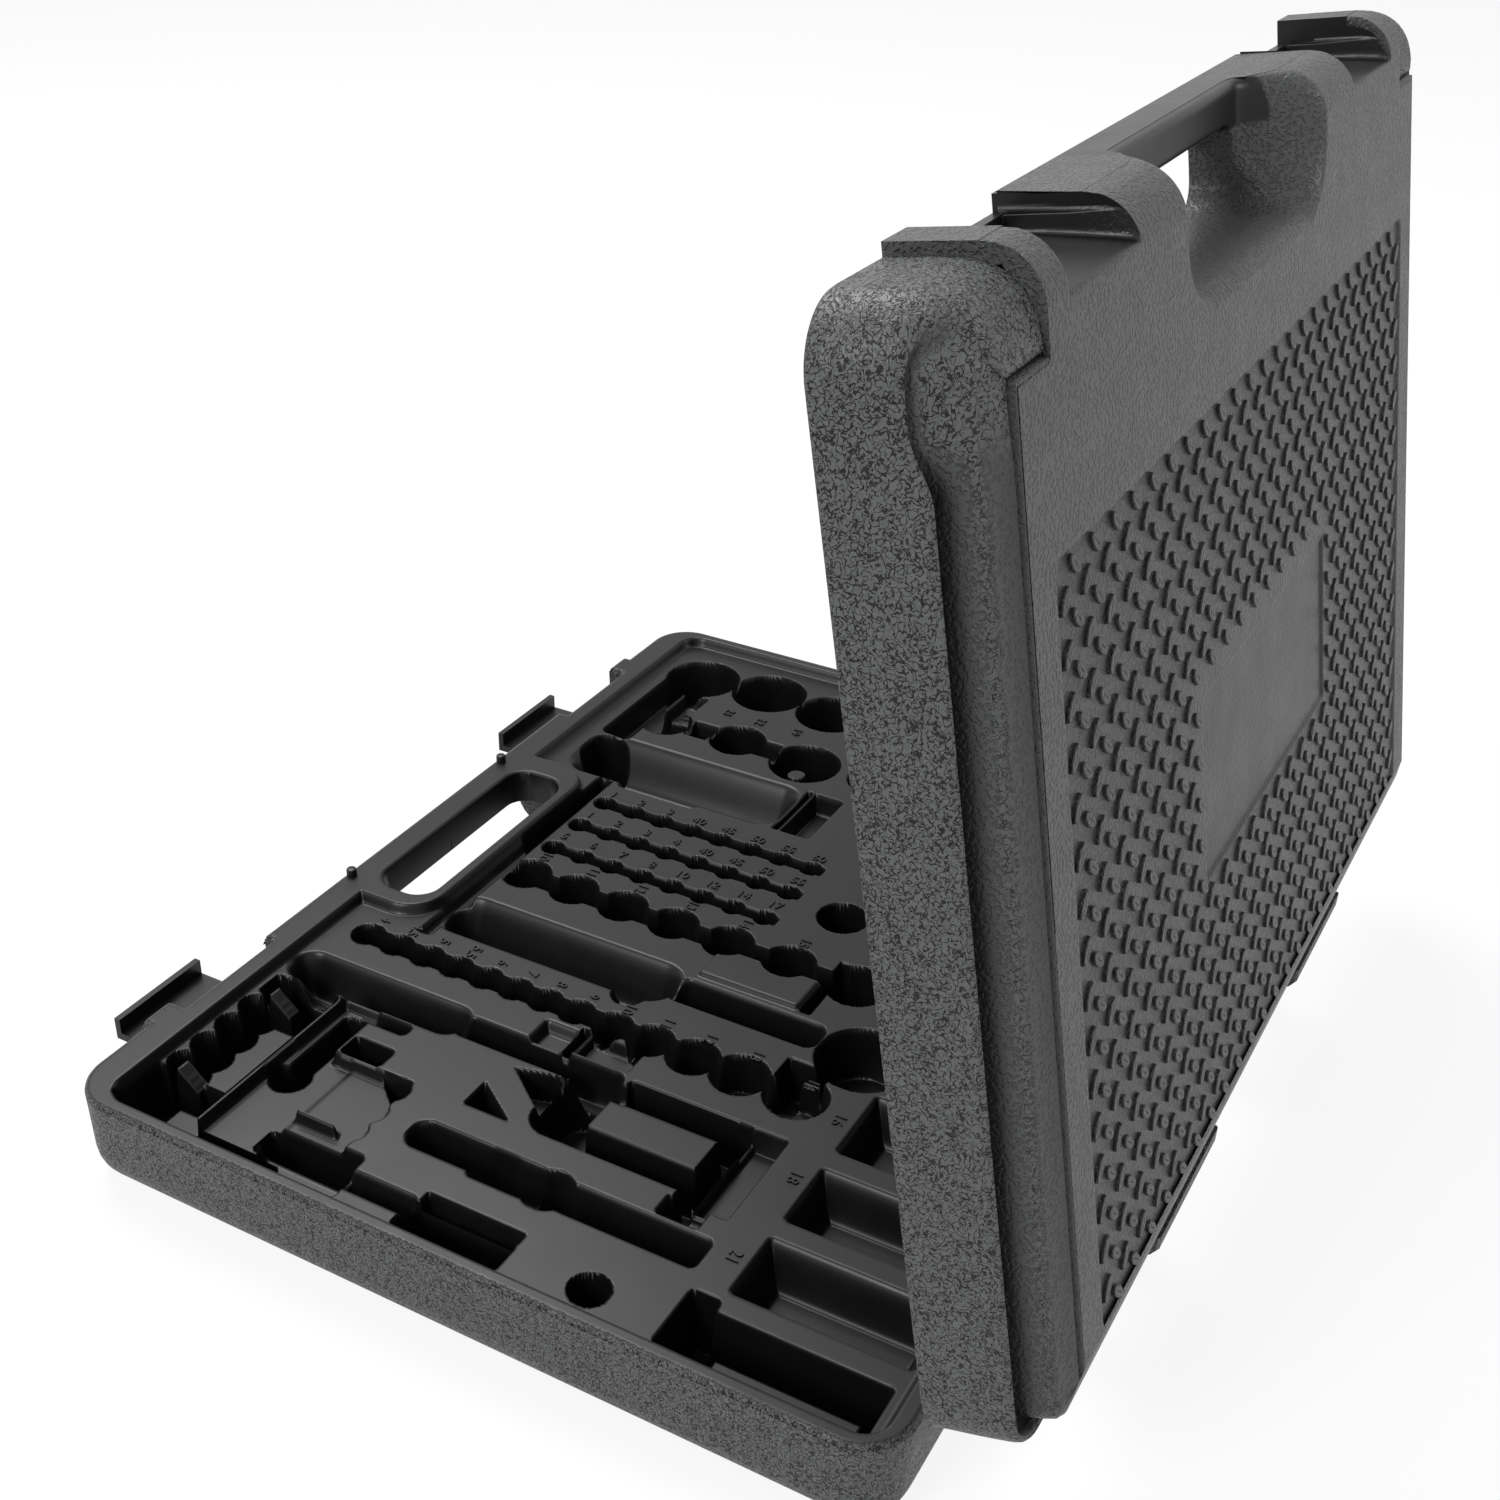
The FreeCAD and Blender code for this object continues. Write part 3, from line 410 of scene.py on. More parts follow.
def trayHeight(x, y):
    # rim, then the recess at plate level, then every pocket sunk into the plate in turn
    plate, shelf, middle, deep, wall = (tray[k] for k in ("plate", "shelf", "middle", "deep", "wall"))
    z = np.full_like(x, rim)
    recess = boxDistance(x, y, -halfWidth + 5, halfWidth - 5, -halfDepth + 12, halfDepth - 6, 9)
    collar = boxDistance(x, y, -60, 56, -halfDepth - 30, -109.5, 14)
    z = sink(z, np.maximum(recess, -collar), plate, 2.2)

    def pocket(floor, left, right, front, back, turn=1.5, width=wall):
        return sink(z, boxDistance(x, y, left, right, front, back, turn), floor, width)

    def well(floor, cx, cy, radius, width=wall):
        return sink(z, discDistance(x, y, cx, cy, radius), floor, width)

    # troughs for deep sockets at the hinge side, with windows in their floors
    for left, right in ((60, 92), (99.6, 127.2), (134.2, 161.2)):
        z = pocket(16, left, right, 80.5, 141, 2, 7.5)
    z = pocket(11, 168.4, 188.6, 78, 139, 2, 3)
    z = lift(z, boxDistance(x, y, 174.5, 181.5, 84, 134, 1.5), 20, 1.5)
    z = pocket(9, 164.4, 188.6, 71.2, 81.5, 2)
    for left, right, front, back in ((149, 160, 104, 130), (114.5, 126, 93, 128), (82, 91, 93, 128)):
        z = pocket(4, left, right, front, back, 1.5, 1)

    # forked pocket round two islands
    for spec in ((shelf, 94, 135.4, 52.5, 66.5, 2), (24, 134, 143.6, 45, 60.5), (11, 94.2, 141, 46.5, 53.5),
                 (12, 94.2, 106.4, 6.5, 54, 2, 2.6), (12, 120.7, 131.4, -3, 53, 2, 2.6),
                 (24, 97, 107, 0, 12, 2)):
        z = pocket(*spec)
    z = sink(z, wedgeDistance(x, y, [(108.5, -31), (122.5, -12.5), (103, -12.5)]), 20, wall)
    z = sink(z, wedgeDistance(x, y, [(119.5, -35), (131.8, -35), (131.8, -17)]), 9, wall)
    z = pocket(9, 100.5, 131.4, -13.4, 6.2, 9)

    # extension bar with its ball end
    z = pocket(middle, 144.4, 158.4, 16, 68, 3, 4.5)
    z = well(14, 151.6, 11.5, 9.2, 3)
    z = pocket(middle, 143.4, 159.4, -16, 8, 3, 4.5)
    z = pocket(middle - 1, 143.4, 157.4, -43, 0, 6, 4.5)
    z = lift(z, discDistance(x, y, 150, 13, 4.6), 21, 4)
    z = lift(z, boxDistance(x, y, 148, 155, -36, -30, 1), 19, 1.5)

    # pockets along the near wall
    z = well(5, 180.2, 45.5, 6.7, 1.2)
    for spec in ((9, 175.4, 188.6, -22, 17, 2), (22, 170.6, 176.4, -20, 17, 1),
                 (21, 174, 183.4, -48, -20, 3, 4), (12, 167.6, 180.6, -86, -46, 3, 3.5),
                 (24, 178, 188.6, -80, -44, 3), (26, 161.4, 169, -86, -55, 2),
                 (26, 131.6, 161.4, -88, -55.4, 2)):
        z = pocket(*spec)
    for cx in (137.5, 149.5, 160):
        z = well(26, cx, -59.4, 6.2)
    z = sink(z, wedgeDistance(x, y, [(131.6, -69), (143, -55.4), (131.6, -55.4)]), 13, wall)
    z = pocket(9, 121.6, 131.6, -87.5, -70.5, 2)
    z = pocket(19, 107.4, 114.4, -99, -73, 3, 2.5)

    # key shelf with its keyhole, a slot along the wall beside it
    for spec in ((25.5, 131.6, 184, -106, -80, 2), (25.5, 105.5, 150, -106, -88.4, 2),
                 (9, 109.6, 146, -102, -92, 2)):
        z = pocket(*spec)
    z = well(9, 145.6, -97.4, 7.5)
    z = pocket(9, 180.6, 188.8, -108, -72, 2)
    # front pocket: fluted front wall, a ledge with matching flutes and two slanted clips
    flutes = [(126, -128.8), (138, -128.8), (150, -128.8), (161.5, -128.8)]
    for spec in ((9.5, 107, 188.8, -131.2, -105.8, 3), (9.5, 108, 119.5, -134, -120, 2),
                 (9.5, 165.5, 188.8, -136, -120, 2)):
        z = pocket(*spec)
    z = lift(z, boxDistance(x, y, 168, 189, -127, -107, 3), 19, 3)
    ledge = boxDistance(x, y, 125.3, 163, -125, -110.5, 1.5)
    for cx, cy in flutes:
        ledge = np.maximum(ledge, -discDistance(x, y, cx, cy, 6.3))
    z = lift(z, ledge, 24, 1.4)
    for cx, cy in flutes:
        z = well(9.5, cx, cy, 6.3, 1.4)
    z = well(20, 108.5, -117, 9.5, 7)
    for left, front in ((111.4, -131), (158, -131)):
        slope = 21 + 10 * np.clip((front + 11.5 - y) / 11.5, 0, 1)
        z = lift(z, boxDistance(x, y, left, left + 8.4, front, front + 11.5, 1.2), slope, 1.4)
        for rib in range(3):
            low = front + 5.6 + 1.9 * rib
            z = lift(z, boxDistance(x, y, left + 2, left + 6.6, low, low + 0.9, 0.4), slope + 0.7, 0.45)

    # small ratchet
    for spec in ((15, 89.6, 107.4, -136, -57, 8.8, 7.5), (16, 92.4, 104.2, -62, 5, 5, 3.5),
                 (25.5, 79, 92, -19, 3.4, 1), (15, 79, 93.4, -22.4, -18.6, 1),
                 (27, 81, 94, -36.5, -21.6, 2, 3)):
        z = pocket(*spec)

    # row of small sockets joined by a finger slot
    z = pocket(14, 57, 69, 46.5, 63.5, 2)
    z = lift(z, boxDistance(x, y, 60, 69, 53.4, 62.6, 1), 27, 1.4)
    first, last = tray["smallSockets"][0], tray["smallSockets"][-1]
    lane = tray["smallLane"]
    z = pocket(18, lane - 4.4, lane + 4.6, first[0], last[0])
    for cy, radius in tray["smallSockets"]:
        z = well(middle, lane + (radius - 6.4) * 0.25, cy, radius)

    # large ratchet
    z = pocket(13, 31.6, 56.8, -108.6, -4, 12.4, 10)
    z = pocket(15, 36, 50.5, -8, 52, 5, 4)
    z = well(11, 46, 69, 17, 3)
    z = well(14, 55.2, -19, 6.4)

    # row of half-inch sockets
    lane = tray["largeLane"]
    z = lift(z, boxDistance(x, y, lane + 1, 33.6, -4, 37.6, 2), plate + 1.4, 1.4)
    z = pocket(13, 0, 33.6, 37.8, 42, 1)
    z = pocket(11, lane - 3.6, lane + 6, tray["largeSockets"][0][0], tray["largeSockets"][-1][0])
    for cy, radius in tray["largeSockets"]:
        z = well(9, lane, cy, radius, 2.2)

    # rows of bits
    for lane in tray["bitLanes"]:
        ends = tray["bitStart"], tray["bitStart"] + 7 * tray["bitPitch"]
        z = pocket(17, lane - 2.9, lane + 2.9, ends[0], ends[1] + 5.4, 1)
        for number in range(8):
            z = well(middle, lane, ends[0] + number * tray["bitPitch"], 4.6, 1.4)

    # platform hole, finger channel, half-round trough with its end, and its scalloped side
    z = well(6, -24.6, 26, 9.8, 1.4)
    for spec in ((27, -10, 62, -107.6, -101, 2), (middle, -66, -6, -108.4, -101, 3),
                 (13, -99.6, -64.4, -129, -26, 11, 13), (9, -98, -75, -129, -110, 9, 3),
                 (middle, -70, -62.4, -99, -61, 3.4), (shelf, -99, -66, -24, -10, 2),
                 (14, -99, -66, -27, -24, 1)):
        z = pocket(*spec)

    # large sockets at the far side, with pads between them
    for spec in ((19, -164, -98, -129, -114, 3), (24, -147, -128, -114, -101.6, 2),
                 (shelf, -127, -114, -63, -53, 1), (shelf, -127, -114, -97, -85, 1)):
        z = pocket(*spec)
    for cx, cy, radius in tray["wideSockets"] + tray["secondSockets"]:
        z = well(deep, cx, cy, radius, 2.4)
    z = well(deep, -118, -38.5, 15.5, 2.4)
    z = lift(z, discDistance(x, y, -111, -38.8, 5.1), 29, 1.2)

    # long bar across the hinge side
    z = pocket(15, -98, 56, 102, 122, 9, 8)
    return z


def makeTray():
    x, y = planGrid(case["gridStep"])
    z = trayHeight(x, y)
    away = caseOutline(x, y, case["bayDepth"])
    hole = holeDistance(x, y)
    # rounded outer and hole edges: the top falls away by a quarter circle near the outline
    for distance in (-away, hole):
        edge = np.clip(tray["rimEdge"] - distance, 0, tray["rimEdge"])
        fall = tray["rimEdge"] - np.sqrt(np.maximum(tray["rimEdge"] ** 2 - edge ** 2, 0))
        z = np.where(distance < tray["rimEdge"], np.minimum(z, rim - fall), z)
    inside = (away < case["skirt"]) & (hole > -case["holeSkirt"])
    # points past an outline slide back to it and hang down as its wall
    px, py = slideToEdges(x, y, away, hole)
    drop = np.clip(away, 0, case["skirt"])
    sunk = np.clip(-hole, 0, case["skirt"])
    z = np.where(away > 0, rim - tray["rimEdge"] - drop * case["skirtFall"], z)
    z = np.where(hole < 0, rim - tray["rimEdge"] - sunk / case["holeFall"] * (case["gripThick"] - 1), z)
    z = np.maximum(z, np.where(hole < 0, rim - case["gripThick"], 0))
    grain = ease((away + 1.6) / 1.2)
    slopeY, slopeX = np.gradient(away, y[:, 0], x[0, :])
    return sheetPieces("base_tray", px, py, z, quadMask(inside), "base", 4, grain, None, False,
                       (away > 0, slopeX, slopeY))


baseTray = makeTray()
for strip in baseTray:
    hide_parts("base_shell")
print("tray made", sum(len(p.data.polygons) for p in baseTray))


def outlinePath(notches, arcSteps=14):
    # the rounded rectangle of the case walked anticlockwise, with square notches in its front edge;
    # gives points, the outward direction that a wall is drawn in along, and each point's notch depth
    turn = case["cornerRound"]
    path, outward, depth = [], [], []
    front = [(-halfWidth + turn, 0.0)]
    for left, right, deep in sorted(notches):
        front += [(left, 0.0), (left, deep), (right, deep), (right, 0.0)]
    front.append((halfWidth - turn, 0.0))
    for x, deep in front:
        path.append((x, -halfDepth + deep))
        outward.append((0.0, -1.0))
        depth.append(deep)
    for cx, cy, start in ((1, -1, -90), (1, 1, 0), (-1, 1, 90), (-1, -1, 180)):
        for angle in np.radians(np.linspace(start, start + 90, arcSteps)):
            outward.append((math.cos(angle), math.sin(angle)))
            path.append((cx * (halfWidth - turn) + turn * math.cos(angle),
                         cy * (halfDepth - turn) + turn * math.sin(angle)))
            depth.append(0.0)
    return np.array(path), np.array(outward), np.array(depth)


def wallPiece(name, notches, profile, body, place=None, grain=1.0):
    # a profile of (inset, height) carried round the outline, from the first row down to the last
    path, outward, depth = outlinePath(notches)
    inset = np.array([p[0] for p in profile])[:, None]
    height = np.array([p[1] for p in profile])[:, None]
    pull = np.where(depth[None, :] > 0, np.maximum(inset - depth[None, :], 0), inset)
    x = path[None, :, 0] - outward[None, :, 0] * pull
    y = path[None, :, 1] - outward[None, :, 1] * pull
    z = np.broadcast_to(height, x.shape)
    points = np.stack([x, y, z], -1).reshape(-1, 3)
    quads = ringQuads(len(profile), len(path))[:, ::-1]
    points = points if place is None else place(points)
    return meshPiece(name, points, quads, body, None, np.full(len(points), grain), 35)


bays = [(s * case["latchMiddle"] - case["latchBay"] / 2, s * case["latchMiddle"] + case["latchBay"] / 2,
         case["bayDepth"]) for s in (-1, 1)]
cheekStart = case["latchMiddle"] + case["latchBay"] / 2
cheeks = [(cheekStart, case["cheekEnd"], -case["cheekReach"]),
          (-case["cheekEnd"], -cheekStart, -case["cheekReach"])]
scoop = (-case["scoopHalf"], case["scoopHalf"], case["gripBar"] + case["holeDepth"])

# outside of the lower half: a straight band and a drawn-in foot
baseWall = {
    "band": [(0.0, rim - 1.8), (0.15, 28.0), (0.3, rim - 14.0)],
    "foot": [(0.3, rim - 14.0), (0.5, 12.0), (0.9, 9.0), (2.0, 6.0), (3.8, 3.2), (6.0, 1.2), (8.6, 0.0)],
}


def flatPiece(name, step, height, keep, body, facing, place=None, grain=1.0, span=None):
    # a level sheet over part of the plan; keep says where, as a distance that is negative inside
    x, y = planGrid(step) if span is None else planGrid(step, *span)
    away = keep(x, y)
    px, py = slide(x, y, away, np.clip(away, 0, step * 1.6))
    inside = away < step * 1.5
    z = np.full_like(x, height)
    return sheetPieces(name, px, py, z, quadMask(inside), body, 1, np.full_like(x, grain), place,
                       facing < 0)[0]


def soleDistance(x, y):
    inset = baseWall["foot"][-1][0]
    away = boxDistance(x, y, -halfWidth + inset, halfWidth - inset, -halfDepth + inset, halfDepth - inset,
                       case["cornerRound"] - inset)
    return np.maximum(away, -boxDistance(x, y, scoop[0], scoop[1], -halfDepth - 20, -halfDepth + scoop[2],
                                         0.1))


def gripDistance(x, y):
    area = boxDistance(x, y, scoop[0], scoop[1], -halfDepth + 0.3, -halfDepth + scoop[2], 0.1)
    return np.maximum(area, -holeDistance(x, y))


gripSpan = (scoop[0] - 1, scoop[1] + 1, -halfDepth - 1, -halfDepth + scoop[2] + 1)
wallPiece("base_band", bays + cheeks, baseWall["band"], "base")
wallPiece("base_foot", bays + cheeks + [scoop], baseWall["foot"], "base")
flatPiece("base_sole", 2.0, 0.0, soleDistance, "base", -1)
flatPiece("base_grip_under", 1.0, rim - case["gripThick"], gripDistance, "base", -1, None, 0.3, gripSpan)
print("base walls made")

# outer face of the lid, heights above the seam
lid = {
    "height": 36.0,
    "padEnd": 156.0,
    "panelHalf": 160.0,
    "panelLow": 21.5,
    "panelHigh": 235.0,
    "panelDepth": 1.0,
    "plateHalf": 62.0,
    "plateLow": 101.0,
    "plateHigh": 157.0,
    "plateDepth": 0.8,
    "treadPitch": (13.45, 12.78),
    "treadLong": 3.75,
    "treadShort": 1.7,
    "treadHeight": 1.0,
    "treadClear": 3.4,
    "treadGrain": 0.25,
    "frontRound": 14.0,
    "holeEdge": 2.5,
    "holeLip": 11.5,
    "sides": [(0.5, 0.0), (0.0, 0.8), (0.5, 6.0), (1.0, 12.0), (1.6, 18.0), (2.1, 22.0), (2.6, 23.8),
              (3.4, 24.6), (4.2, 24.0), (4.8, 22.0), (5.6, 19.4), (7.0, 18.6), (8.2, 20.0), (9.0, 24.0),
              (9.7, 28.4), (10.5, 31.2), (12.0, 32.8), (19.7, 35.2), (20.2, 33.6), (20.9, 33.4), (21.3, 35.9),
              (23.4, 35.9)],
    "pads": [(0.5, 0.0), (0.0, 0.8), (0.3, 6.0), (0.7, 12.0), (1.1, 16.5), (1.5, 19.0), (2.1, 20.4),
             (2.8, 20.8), (3.4, 20.4), (3.9, 19.6), (4.4, 19.6), (4.9, 20.8), (5.6, 23.2), (6.6, 26.2),
             (8.2, 29.2), (10.4, 31.4), (13.2, 33.0), (19.7, 34.6), (20.2, 33.2), (20.9, 33.2), (21.3, 35.9),
             (23.4, 35.9)],
    "fronts": [(0.5, 0.0), (0.0, 0.8), (0.0, 7.0), (0.0, 13.0), (0.2, 18.0), (0.6, 21.0), (1.3, 23.6),
               (2.2, 25.8), (3.2, 27.5), (4.4, 29.1), (5.8, 30.5), (7.4, 31.7), (9.2, 32.7), (11.2, 33.5),
               (13.6, 34.1), (16.6, 34.5), (18.6, 34.7), (19.7, 34.8), (20.2, 33.2), (20.9, 33.2),
               (21.3, 35.9), (23.4, 35.9)],
}
lidBase = rim + case["seamGap"]


def lidMark(name, x, u, turn):
    # distance to the sunk panel or the bare plate, u running from the hinge edge to the front
    half = lid[name + "Half"]
    return boxDistance(x, u, -half, half, lid[name + "Low"], lid[name + "High"], turn)


def lidHeight(x, y):
    # flat face with a plain round to the front, then panel, plate, scoop and bays
    u = halfDepth - y
    beside = (np.abs(x) > cheekStart) & (np.abs(x) < case["cheekEnd"] + 0.7)
    inward = np.maximum(halfDepth + y + case["cheekReach"] * beside, 0)
    turn = lid["frontRound"]
    z = lid["height"] - turn + np.sqrt(np.maximum(turn ** 2 - np.clip(turn - inward, 0, turn) ** 2, 0))
    panel, plate = lidMark("panel", x, u, 4), lidMark("plate", x, u, 1)
    z = z - lid["panelDepth"] * ease(-panel / 1.0)
    z = z - lid["plateDepth"] * ease(-plate / 1.0)
    # hand scoop down to the grip bar, wide and round at its foot
    hollow = boxDistance(x, u, -case["scoopHalf"] - 2, case["scoopHalf"] + 2, 258.5, 340, 22)
    z = sink(z, hollow, case["gripThick"], 17)
    bar = (hollow < -12) & (inward < 3)
    z = np.where(bar, z - (3 - np.sqrt(np.maximum(9 - (3 - inward) ** 2, 0))), z)
    # latch bays: a steep back wall down to the catch ledge
    half = case["latchBay"] / 2
    bay = boxDistance(np.abs(x), u, case["latchMiddle"] - half, case["latchMiddle"] + half,
                      case["depth"] - case["hookBay"], 360, 2)
    aside = np.abs(np.abs(x) - case["latchMiddle"]) - half
    z = z + (np.minimum(3.0, z) - z) * ease(-aside / 1.3) * ease((u - case["depth"] + case["hookBay"]) / 3.4)
    smooth = np.maximum.reduce([
        0.62 * ease(-panel / 1.0), 0.85 * ease(-plate / 1.0), ease((0.7 - bay) / 0.9),
        ease((case["gripBar"] + 2 - inward) / 2) * (np.abs(x) < case["scoopHalf"] - 8)])
    return z, 0.62 * (1.0 - 0.97 * np.clip(smooth, 0, 1))


def makeLidFace():
    x, y = planGrid(case["gridStep"])
    z, grain = lidHeight(x, y)
    away = caseOutline(x, y, case["bayDepth"])
    hole = holeDistance(x, y)
    inward = -boxDistance(x, y, -halfWidth, halfWidth, -halfDepth, halfDepth, case["cornerRound"])
    turn = lid["holeEdge"]
    edge = np.clip(turn - hole, 0, turn)
    z = np.where(hole < turn, z - (turn - np.sqrt(np.maximum(turn ** 2 - edge ** 2, 0))), z)
    # the middle of the front is drawn here; the pads and sides are swept round the outline
    middle = (np.abs(x) < lid["padEnd"] + case["gridStep"]) & (y < 0)
    inside = (away < case["skirt"]) & (hole > -case["holeSkirt"]) & (middle | (inward > 21.6))
    brink = (np.abs(x) > lid["padEnd"]) & (inward < 21.7) & (y < 0)
    z = np.where(brink, z - 6, z)
    px, py = slideToEdges(x, y, away, hole)
    px = np.where(brink, np.sign(x) * lid["padEnd"], px)
    z = z - np.clip(away, 0, case["skirt"]) * case["skirtFall"]
    z = np.where(hole < 0, np.maximum(lid["holeLip"] + hole / case["holeFall"] * lid["holeLip"], 0), z)
    slopeY, slopeX = np.gradient(away, y[:, 0], x[0, :])
    holeY, holeX = np.gradient(hole, y[:, 0], x[0, :])
    facing = (np.where(hole < 0, -holeX, slopeX), np.where(hole < 0, -holeY, slopeY))
    return sheetPieces("lid_face", px, py, np.maximum(z, 0) + lidBase, quadMask(inside), "lid", 4, grain,
                       swing, False, ((away > 0) | (hole < 0), *facing))


lidFace = makeLidFace()
for strip in lidFace:
    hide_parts("lid_shell")


def stripQuads(rows, columns):
    # faces of an open grid of points, rows running inward
    index = np.arange(rows * columns).reshape(rows, columns)
    return np.stack([index[:-1, :-1], index[:-1, 1:], index[1:, 1:], index[1:, :-1]], -1).reshape(-1, 4)


def makeLidShoulder():
    # the side profile carried from one front pad round the three plain sides to the other pad;
    # near the front it changes into the pad profile, whose valley swings down the wall
    turn = case["cornerRound"]
    path, outward, front = [], [], []

    def straight(start, end, normal, count, atFront):
        for t in np.linspace(0, 1, count):
            path.append((start[0] + (end[0] - start[0]) * t, start[1] + (end[1] - start[1]) * t))
            outward.append(normal)
            front.append(atFront)

    def corner(cx, cy, begin, atFront):
        for angle in np.radians(np.linspace(begin, begin + 90, 24))[1:-1]:
            outward.append((math.cos(angle), math.sin(angle)))
            path.append((cx + turn * math.cos(angle), cy + turn * math.sin(angle)))
            front.append(atFront(angle))

    sideX, sideY = halfWidth - turn, halfDepth - turn
    straight((lid["padEnd"], -halfDepth), (sideX, -halfDepth), (0, -1), 5, 1.0)
    turning = lambda a: 0.5 - 0.5 * math.sin(2 * a + math.pi / 2)
    corner(sideX, -sideY, -90, turning)
    straight((halfWidth, -sideY), (halfWidth, sideY), (1, 0), 120, 0.0)
    corner(sideX, sideY, 0, lambda a: 0.0)
    straight((sideX, halfDepth), (-sideX, halfDepth), (0, 1), 60, 0.0)
    corner(-sideX, sideY, 90, lambda a: 0.0)
    straight((-halfWidth, sideY), (-halfWidth, -sideY), (-1, 0), 120, 0.0)
    corner(-sideX, -sideY, 180, turning)
    straight((-sideX, -halfDepth), (-lid["padEnd"], -halfDepth), (0, -1), 5, 1.0)
    path, outward, front = np.array(path), np.array(outward), np.array(front)
    plain, pads, fronts = (np.array(lid[k]) for k in ("sides", "pads", "fronts"))
    amount = ease((halfDepth - path[:, 1] - 258) / 16) * (path[:, 1] < 0)
    amount, share = amount[None, :, None], front[None, :, None]
    profile = plain[:, None, :] * (1 - amount) + pads[:, None, :] * amount
    profile = profile * (1 - share) + fronts[:, None, :] * share
    pull = profile[..., 0]
    # past the corner's own radius an inset outline has square corners, so points stop there
    x = np.clip(path[None, :, 0] - outward[None, :, 0] * pull, pull - halfWidth, halfWidth - pull)
    y = np.clip(path[None, :, 1] - outward[None, :, 1] * pull, pull - halfDepth, halfDepth - pull)
    z = profile[..., 1] + lidBase
    points = np.stack([x, y, z], -1)
    along = np.gradient(points, axis=1)
    inwards = np.gradient(points, axis=0)
    normals = unit(np.cross(along, inwards).reshape(-1, 3))
    points = swing(points.reshape(-1, 3))
    normals = swing(normals) - swing(np.zeros((1, 3)))
    satin = ease((pull - 11.5) / 1.5) * ease((21.0 - pull) / 0.6) * (1 - amount[..., 0])
    # the valley and the narrow groove get little grain, so they take the dark satin colour and are smooth
    # there: painted shade in these hollows
    sideValleyShade, padValleyShade, grooveShade = np.zeros((3, len(plain), 1))
    sideValleyShade[8:16, 0] = (0.6, 1.0, 1.0, 1.0, 1.0, 0.9, 0.5, 0.15)
    padValleyShade[8:13, 0] = (0.7, 1.0, 1.0, 0.6, 0.1)
    grooveShade[18:21, 0] = (1.0, 1.0, 0.6)
    valley = sideValleyShade * (1 - amount[..., 0]) + padValleyShade * amount[..., 0]
    paintedShade = np.maximum(valley * (1 - share[..., 0]), grooveShade)
    grain = ((1 - 0.95 * satin) * (1 - 0.92 * paintedShade)).reshape(-1)
    return meshPiece("lid_shoulder", points, stripQuads(x.shape[0], x.shape[1]), "lid", normals, grain)


makeLidShoulder()


def makeLidFrontWall():
    # front wall between the pads, following the face's edge round the bays and the grip
    half = case["latchBay"] / 2
    reach = case["cheekReach"]
    corners = [(-lid["padEnd"], 2.0), (-lid["padEnd"], -reach), (-cheekStart, -reach)]
    for middle in (-case["latchMiddle"], case["latchMiddle"]):
        corners += [(middle - half, 0.0), (middle - half, case["bayDepth"]),
                    (middle + half, case["bayDepth"]), (middle + half, 0.0)]
    corners += [(cheekStart, -reach), (lid["padEnd"], -reach), (lid["padEnd"], 2.0)]
    path = []
    for (ax, ay), (bx, by) in zip(corners[:-1], corners[1:]):
        count = max(int(math.hypot(bx - ax, by - ay) / 0.6), 2)
        t = np.linspace(0, 1, count)
        path.append(np.stack([ax + (bx - ax) * t, ay + (by - ay) * t], 1))
    path = np.concatenate(path)
    x, y = path[:, 0], path[:, 1] - halfDepth
    top, grain = lidHeight(x, y)
    inBay = np.abs(np.abs(x) - case["latchMiddle"]) < half + 0.01
    grain = np.where(inBay, 0.0, grain)
    rows = np.array([0.0, 0.4, 1.0])[:, None] * top[None, :]
    z = rows + lidBase
    points = np.stack([np.broadcast_to(x, z.shape), np.broadcast_to(y, z.shape), z], -1).reshape(-1, 3)
    return meshPiece("lid_front_wall", swing(points), stripQuads(3, len(path)), "lid", None,
                     np.broadcast_to(grain, z.shape).reshape(-1), 30)


makeLidFrontWall()


def makeTread():
    # chequer tread: flat-topped ellipses leaning one way on a square lattice, and the other way at the
    # middle of each cell; every one is three rings of the same ellipse and a small ring that shuts its top
    turns = np.radians(np.arange(0, 360, 22.5))
    circle = np.stack([np.cos(turns), np.sin(turns)], 1)
    top = lid["treadHeight"]

    def rings(angle):
        c, s = math.cos(math.radians(angle)), math.sin(math.radians(angle))
        made = []
        for grow, rise in ((0.15, -0.3), (0.0, top - 0.25), (-0.22, top), (0.1 - lid["treadShort"], top)):
            flat = circle * (lid["treadLong"] + grow, lid["treadShort"] + grow)
            made.append(np.stack([flat[:, 0] * c - flat[:, 1] * s, flat[:, 0] * s + flat[:, 1] * c,
                                  np.full(len(turns), rise)], 1))
        return np.stack(made)

    stud, bar = rings(45), rings(135)
    pitchX, pitchU = lid["treadPitch"]
    lattice = np.stack(np.meshgrid(np.arange(-14, 15), np.arange(0, 22)), -1).reshape(-1, 2)
    studs = lattice * (pitchX, pitchU)
    bars = (lattice + 0.5) * (pitchX, pitchU)
    floor = lid["height"] - lid["panelDepth"] + lidBase
    points, quads, start = [], [], 0
    one = ringQuads(*stud.shape[:2])[:, ::-1]
    reach = lid["treadClear"]
    for shape, places in ((stud, studs), (bar, bars)):
        panel, plate = lidMark("panel", *places.T, 4), lidMark("plate", *places.T, 1)
        chosen = places[(panel < -reach) & (plate > reach - 0.6)]
        flat = shape.reshape(-1, 3)
        every = flat[None] + np.concatenate([chosen, np.full((len(chosen), 1), floor)], 1)[:, None, :]
        count = len(flat)
        quads.append((one[None] + np.arange(len(chosen))[:, None, None] * count).reshape(-1, 4) + start)
        points.append(every.reshape(-1, 3))
        start += len(chosen) * count
    points = np.concatenate(points)
    points[:, 1] = halfDepth - points[:, 1]
    return meshPiece("lid_tread", swing(points), np.concatenate(quads), "lid", None,
                     np.full(len(points), lid["treadGrain"]), 30)


makeTread()


